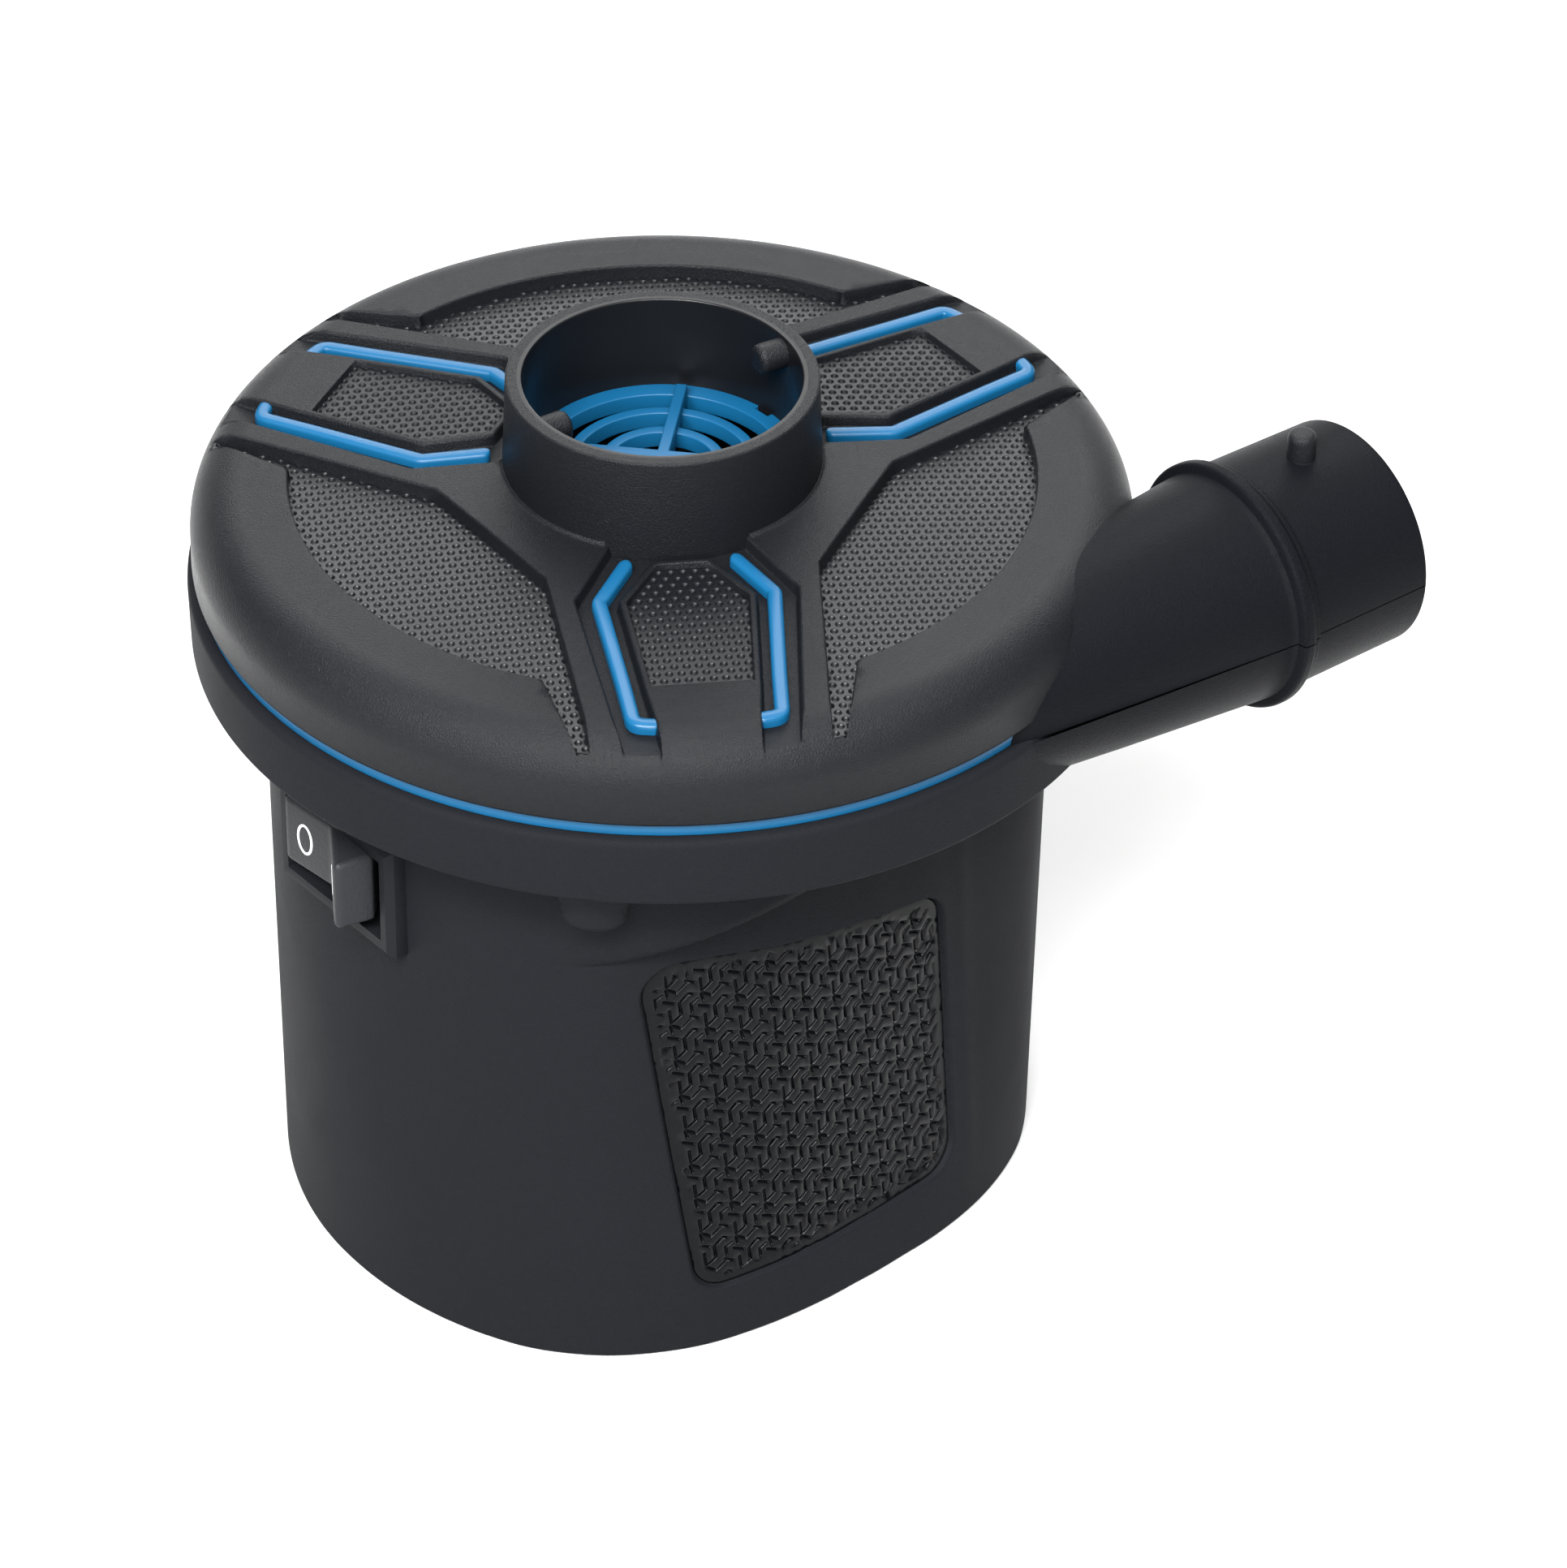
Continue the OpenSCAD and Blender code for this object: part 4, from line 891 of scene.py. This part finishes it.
def switch_point(out, across, height):
    """World point of the pressed rocker from its own frame: outwards from the bezel, across, and height."""
    c, s = math.cos(SWING), math.sin(SWING)
    u = (out - PIVOT) * c + across * s + PIVOT + BEZEL_OUT
    v = -(out - PIVOT) * s + across * c
    c, s = math.cos(SWITCH_TURN), math.sin(SWITCH_TURN)
    return np.stack([u * c - v * s, u * s + v * c, height + 0 * u], -1)


def build_rocker():
    """Rocker with rolled edges and the white O and I marks on its two slopes."""
    lift = ROCKER_W * ROCKER_SLOPE
    corners = [(-5, 0), (-5, -3), (-2, -ROCKER_W), (lift, -ROCKER_W), (0, 0), (lift, ROCKER_W),
               (-2, ROCKER_W), (-5, 3), (-5, 0.01)]
    outline = rounded_profile(corners, [0, 0.5, 0.5, 0.9, 1.5, 0.9, 0.5, 0.5, 0], 6)
    n, edge = len(outline), 0.75
    rows = []
    for k in range(6):
        t = math.radians(18 * k)
        rows.append((closed_offset(outline, -edge * (1 - math.sin(t))),
                     -ROCKER_HALF + edge * (1 - math.cos(t))))
    rows += [(loop, -z) for loop, z in rows[::-1]]
    pts = np.array([switch_point(loop[:, 0], loop[:, 1], ROCKER_Z + z) for loop, z in rows])
    cap_xy, cap = triangulate(rows[0][0], [], np.zeros((0, 2)))
    low = switch_point(cap_xy[:, 0], cap_xy[:, 1], ROCKER_Z - ROCKER_HALF)
    high = switch_point(cap_xy[:, 0], cap_xy[:, 1], ROCKER_Z + ROCKER_HALF)
    side = grid_faces(len(rows), n, wrap=True)
    first = pts.reshape(-1, 3)
    faces = [side, cap[:, ::-1] + len(first), cap + len(first) + len(low)]
    add_mesh("rocker_body", np.vstack([first, low, high]), faces, ROCKER, "rocker", "switch_rocker")

    def mark(name, loops):
        rings = [switch_point(np.abs(v) * ROCKER_SLOPE + above, v, ROCKER_Z + w) for v, w, above in loops]
        add_mesh(name, rings, grid_faces(len(rings), len(rings[0]), wrap=True), MARK, "rocker", smooth=False)

    t = np.linspace(0, 2 * math.pi, 48, endpoint=False)
    ring = (1.2, 2.1, -0.05), (1.18, 2.08, 0.04), (0.9, 1.78, 0.04), (0.88, 1.76, -0.05)
    mark("mark_off", [(-4.0 + a * np.cos(t), b * np.sin(t), h) for a, b, h in ring])
    square = np.radians([45, 135, 225, 315])
    mark("mark_on", [(4.0 + a * np.sign(np.cos(square)), b * np.sign(np.sin(square)), h)
                     for a, b, h in ((0.2, 2.0, -0.05), (0.18, 1.98, 0.04), (0.001, 0.001, 0.04))])


DECK_FIT = 1.2  # the deck is fitted to the casing up to this height above the rim's underside
DECK_GAP = 1.6  # from the deck to the outer face of the casing


def build_deck():
    """Blower deck of the CAD part, kept inside the visible casing wall under the rim."""
    bm = cad_bmesh("fan_deck")
    bmesh.ops.subdivide_edges(bm, edges=[e for e in bm.edges if e.calc_length() > 0.006], cuts=3)
    for v in bm.verts:
        x, y, z = v.co / MM
        if z < UNDER + DECK_FIT:
            reach = body_reach(np.array([math.atan2(y, x)]), np.array([min(z, UNDER)]))[0]
            v.co.xy *= min(1, (reach - DECK_GAP) / max(math.hypot(x, y), 1e-6))
    split_large_faces(bm)
    bmesh_piece("fan_deck_fitted", bm, BLACK, "fan_deck")


# ---------------------------------------------------------------- accent strips
STRIP = np.array([(19.4, 6.25), (25.5, 9.7), (40, 8.5), (46.6, 8.05), (47.0, 5.95)])
STRIP_HALF, STRIP_BASE = 0.85, -1.45  # half width, and the foot's height from the cover top


def fine_path(points, bend):
    """A polyline with rounded bends, sampled evenly."""
    p = rounded_profile(points, bend, 8)
    along = np.concatenate([[0], np.cumsum(np.hypot(*np.diff(p, axis=0).T))])
    t = np.linspace(0, along[-1], int(along[-1] / 0.3) + 2)
    return np.stack([np.interp(t, along, p[:, 0]), np.interp(t, along, p[:, 1])], -1)


def build_strips():
    """Blue bars that lie in the grooves: an outline with rounded ends and a softly domed top."""
    path = fine_path(STRIP, [0, 1.0, 0, 1.7, 0])
    tangent = np.gradient(path, axis=0)
    tangent /= np.linalg.norm(tangent, axis=1)[:, None]
    normal = np.stack([-tangent[:, 1], tangent[:, 0]], -1)
    # cross-section from one foot over the top to the other
    w = np.array([-1, -1, -0.93, -0.75, -0.4, 0, 0.4, 0.75, 0.93, 1, 1]) * STRIP_HALF
    h = np.array([STRIP_BASE, -0.75, -0.5, -0.34, -0.23, -0.2, -0.23, -0.34, -0.5, -0.75, STRIP_BASE])
    # each station: place, normal and share of the full width; the two ends turn round in six steps
    stations = [(p, n, 1.0) for p, n in zip(path, normal)]
    for t in np.linspace(0, math.pi / 2, 7)[1:]:
        out = math.sin(t) * STRIP_HALF
        stations.insert(0, (path[0] - out * tangent[0], normal[0], math.cos(t)))
        stations.append((path[-1] + out * tangent[-1], normal[-1], math.cos(t)))
    pts = np.array([np.column_stack([p + np.outer(w * max(share, 0.02), n), h - 0.35 * (1 - share) ** 2])
                    for p, n, share in stations])
    for i, spoke in enumerate(SPOKES):
        for letter, side in (("a", 1), ("b", -1)):
            piece = pts.reshape(-1, 3) * [1, side, 1]
            r = np.hypot(piece[:, 0], piece[:, 1])
            piece[:, 2] += np.minimum(cone_z(r), cover_z(r) + 0.15)
            add_mesh(f"accent_{i}_{letter}", turned(piece, spoke), grid_faces(*pts.shape[:2], flip=side > 0),
                     BLUE, node="accent_strips" if (i, side) == (0, 1) else None)


# ---------------------------------------------------------------- camera and light
CAM_AZ, CAM_EL, CAM_ROLL = math.radians(-127.3), math.radians(37.012), math.radians(0.726)
CAM_DIST, CAM_X, CAM_Y = 784.6, 13.75, -26.10
LENS = 158.47
WORLD_STRENGTH = 0.42
FLOOR_HALF = 3.0


def build_camera():
    """Camera at the photograph's angle. Returns the directions to its right and back to it."""
    level = math.cos(CAM_EL)
    back = Vector((math.cos(CAM_AZ) * level, math.sin(CAM_AZ) * level, math.sin(CAM_EL)))
    right = Vector((-math.sin(CAM_AZ), math.cos(CAM_AZ), 0))
    up = back.cross(right)
    r = right * math.cos(CAM_ROLL) + up * math.sin(CAM_ROLL)
    u = -right * math.sin(CAM_ROLL) + up * math.cos(CAM_ROLL)
    place = (back * CAM_DIST + r * CAM_X + u * CAM_Y + Vector((0, 0, SEAM))) * MM
    data = bpy.data.cameras.new("camera")
    data.lens = LENS
    data.sensor_fit = "HORIZONTAL"
    data.sensor_width = 36.0
    data.clip_start, data.clip_end = 0.05, 20.0
    cam = new_object("camera", data)
    cam.matrix_world = Matrix(((r.x, u.x, back.x, place.x), (r.y, u.y, back.y, place.y),
                               (r.z, u.z, back.z, place.z), (0, 0, 0, 1)))
    bpy.context.scene.camera = cam
    return right, back


def area_light(name, toward, distance, width, depth, power):
    """A soft light that shines at the middle of the pump from a direction."""
    data = bpy.data.lights.new(name, "AREA")
    data.shape = "RECTANGLE"
    data.size, data.size_y = width, depth
    data.energy = power
    light = new_object(name, data)
    light.location = Vector((0, 0, 0.06)) + toward.normalized() * distance
    light.rotation_euler = toward.to_track_quat("Z", "Y").to_euler()


def build_studio():
    """Camera, world that is darker towards the horizon, six soft lights and a plain floor."""
    right, back = build_camera()
    world = bpy.data.worlds.new("studio")
    world.use_nodes = True
    tree = world.node_tree
    coords = shader_node(tree, "TexCoord", "Generated", {})
    height = shader_node(tree, "SeparateXYZ", "Z", {"Vector": coords})
    steps = {"From Min": 0.1, "From Max": 0.75, "To Min": 0.25, "To Max": 1.0, "Value": height}
    shade = shader_node(tree, "MapRange", "Result", steps, interpolation_type="SMOOTHSTEP")
    set_inputs(tree, tree.nodes["Background"], {"Strength": WORLD_STRENGTH, "Color": shade})
    bpy.context.scene.world = world
    level = Vector((back.x, back.y, 0)).normalized()
    high = Vector((0, 0, 1))
    area_light("key_left", -right * 0.45 + level * 0.95 + high * 0.95, 0.9, 0.45, 0.45, 13.0)
    area_light("front_high", right * -0.1 + level + high * 1.3, 1.0, 0.8, 0.16, 20.0)
    area_light("front_low", right * 0.1 + level + high * 0.35, 1.3, 0.6, 0.25, 8.0)
    area_light("top_back", -level * 0.9 + high, 0.9, 1.0, 0.35, 7.0)
    area_light("back_fill", -level + high * 0.35, 1.3, 0.9, 0.4, 6.0)
    area_light("top_wide", right * 0.3 + high, 1.3, 1.6, 1.6, 15.0)
    mesh = bpy.data.meshes.new("floor")
    corners = ((-1, -1), (1, -1), (1, 1), (-1, 1))
    mesh.from_pydata([(x * FLOOR_HALF, y * FLOOR_HALF, 0) for x, y in corners], [], [(0, 1, 2, 3)])
    mesh.materials.append(FLOOR)
    new_object("floor", mesh)
    bpy.context.scene.view_settings.view_transform = "Standard"


build_studio()
build_cover_top()
build_dimple_pads()
build_cover_sides()
build_trim_ring()
build_collar()
build_nozzle()
build_casing()
build_strips()
rounded_copy("switch_bezel", 0.25, SWITCH_BLACK)
rounded_copy("inlet_grille", 0.4, BLUE, segments=4)
build_grip_pads()
build_rocker()
build_deck()
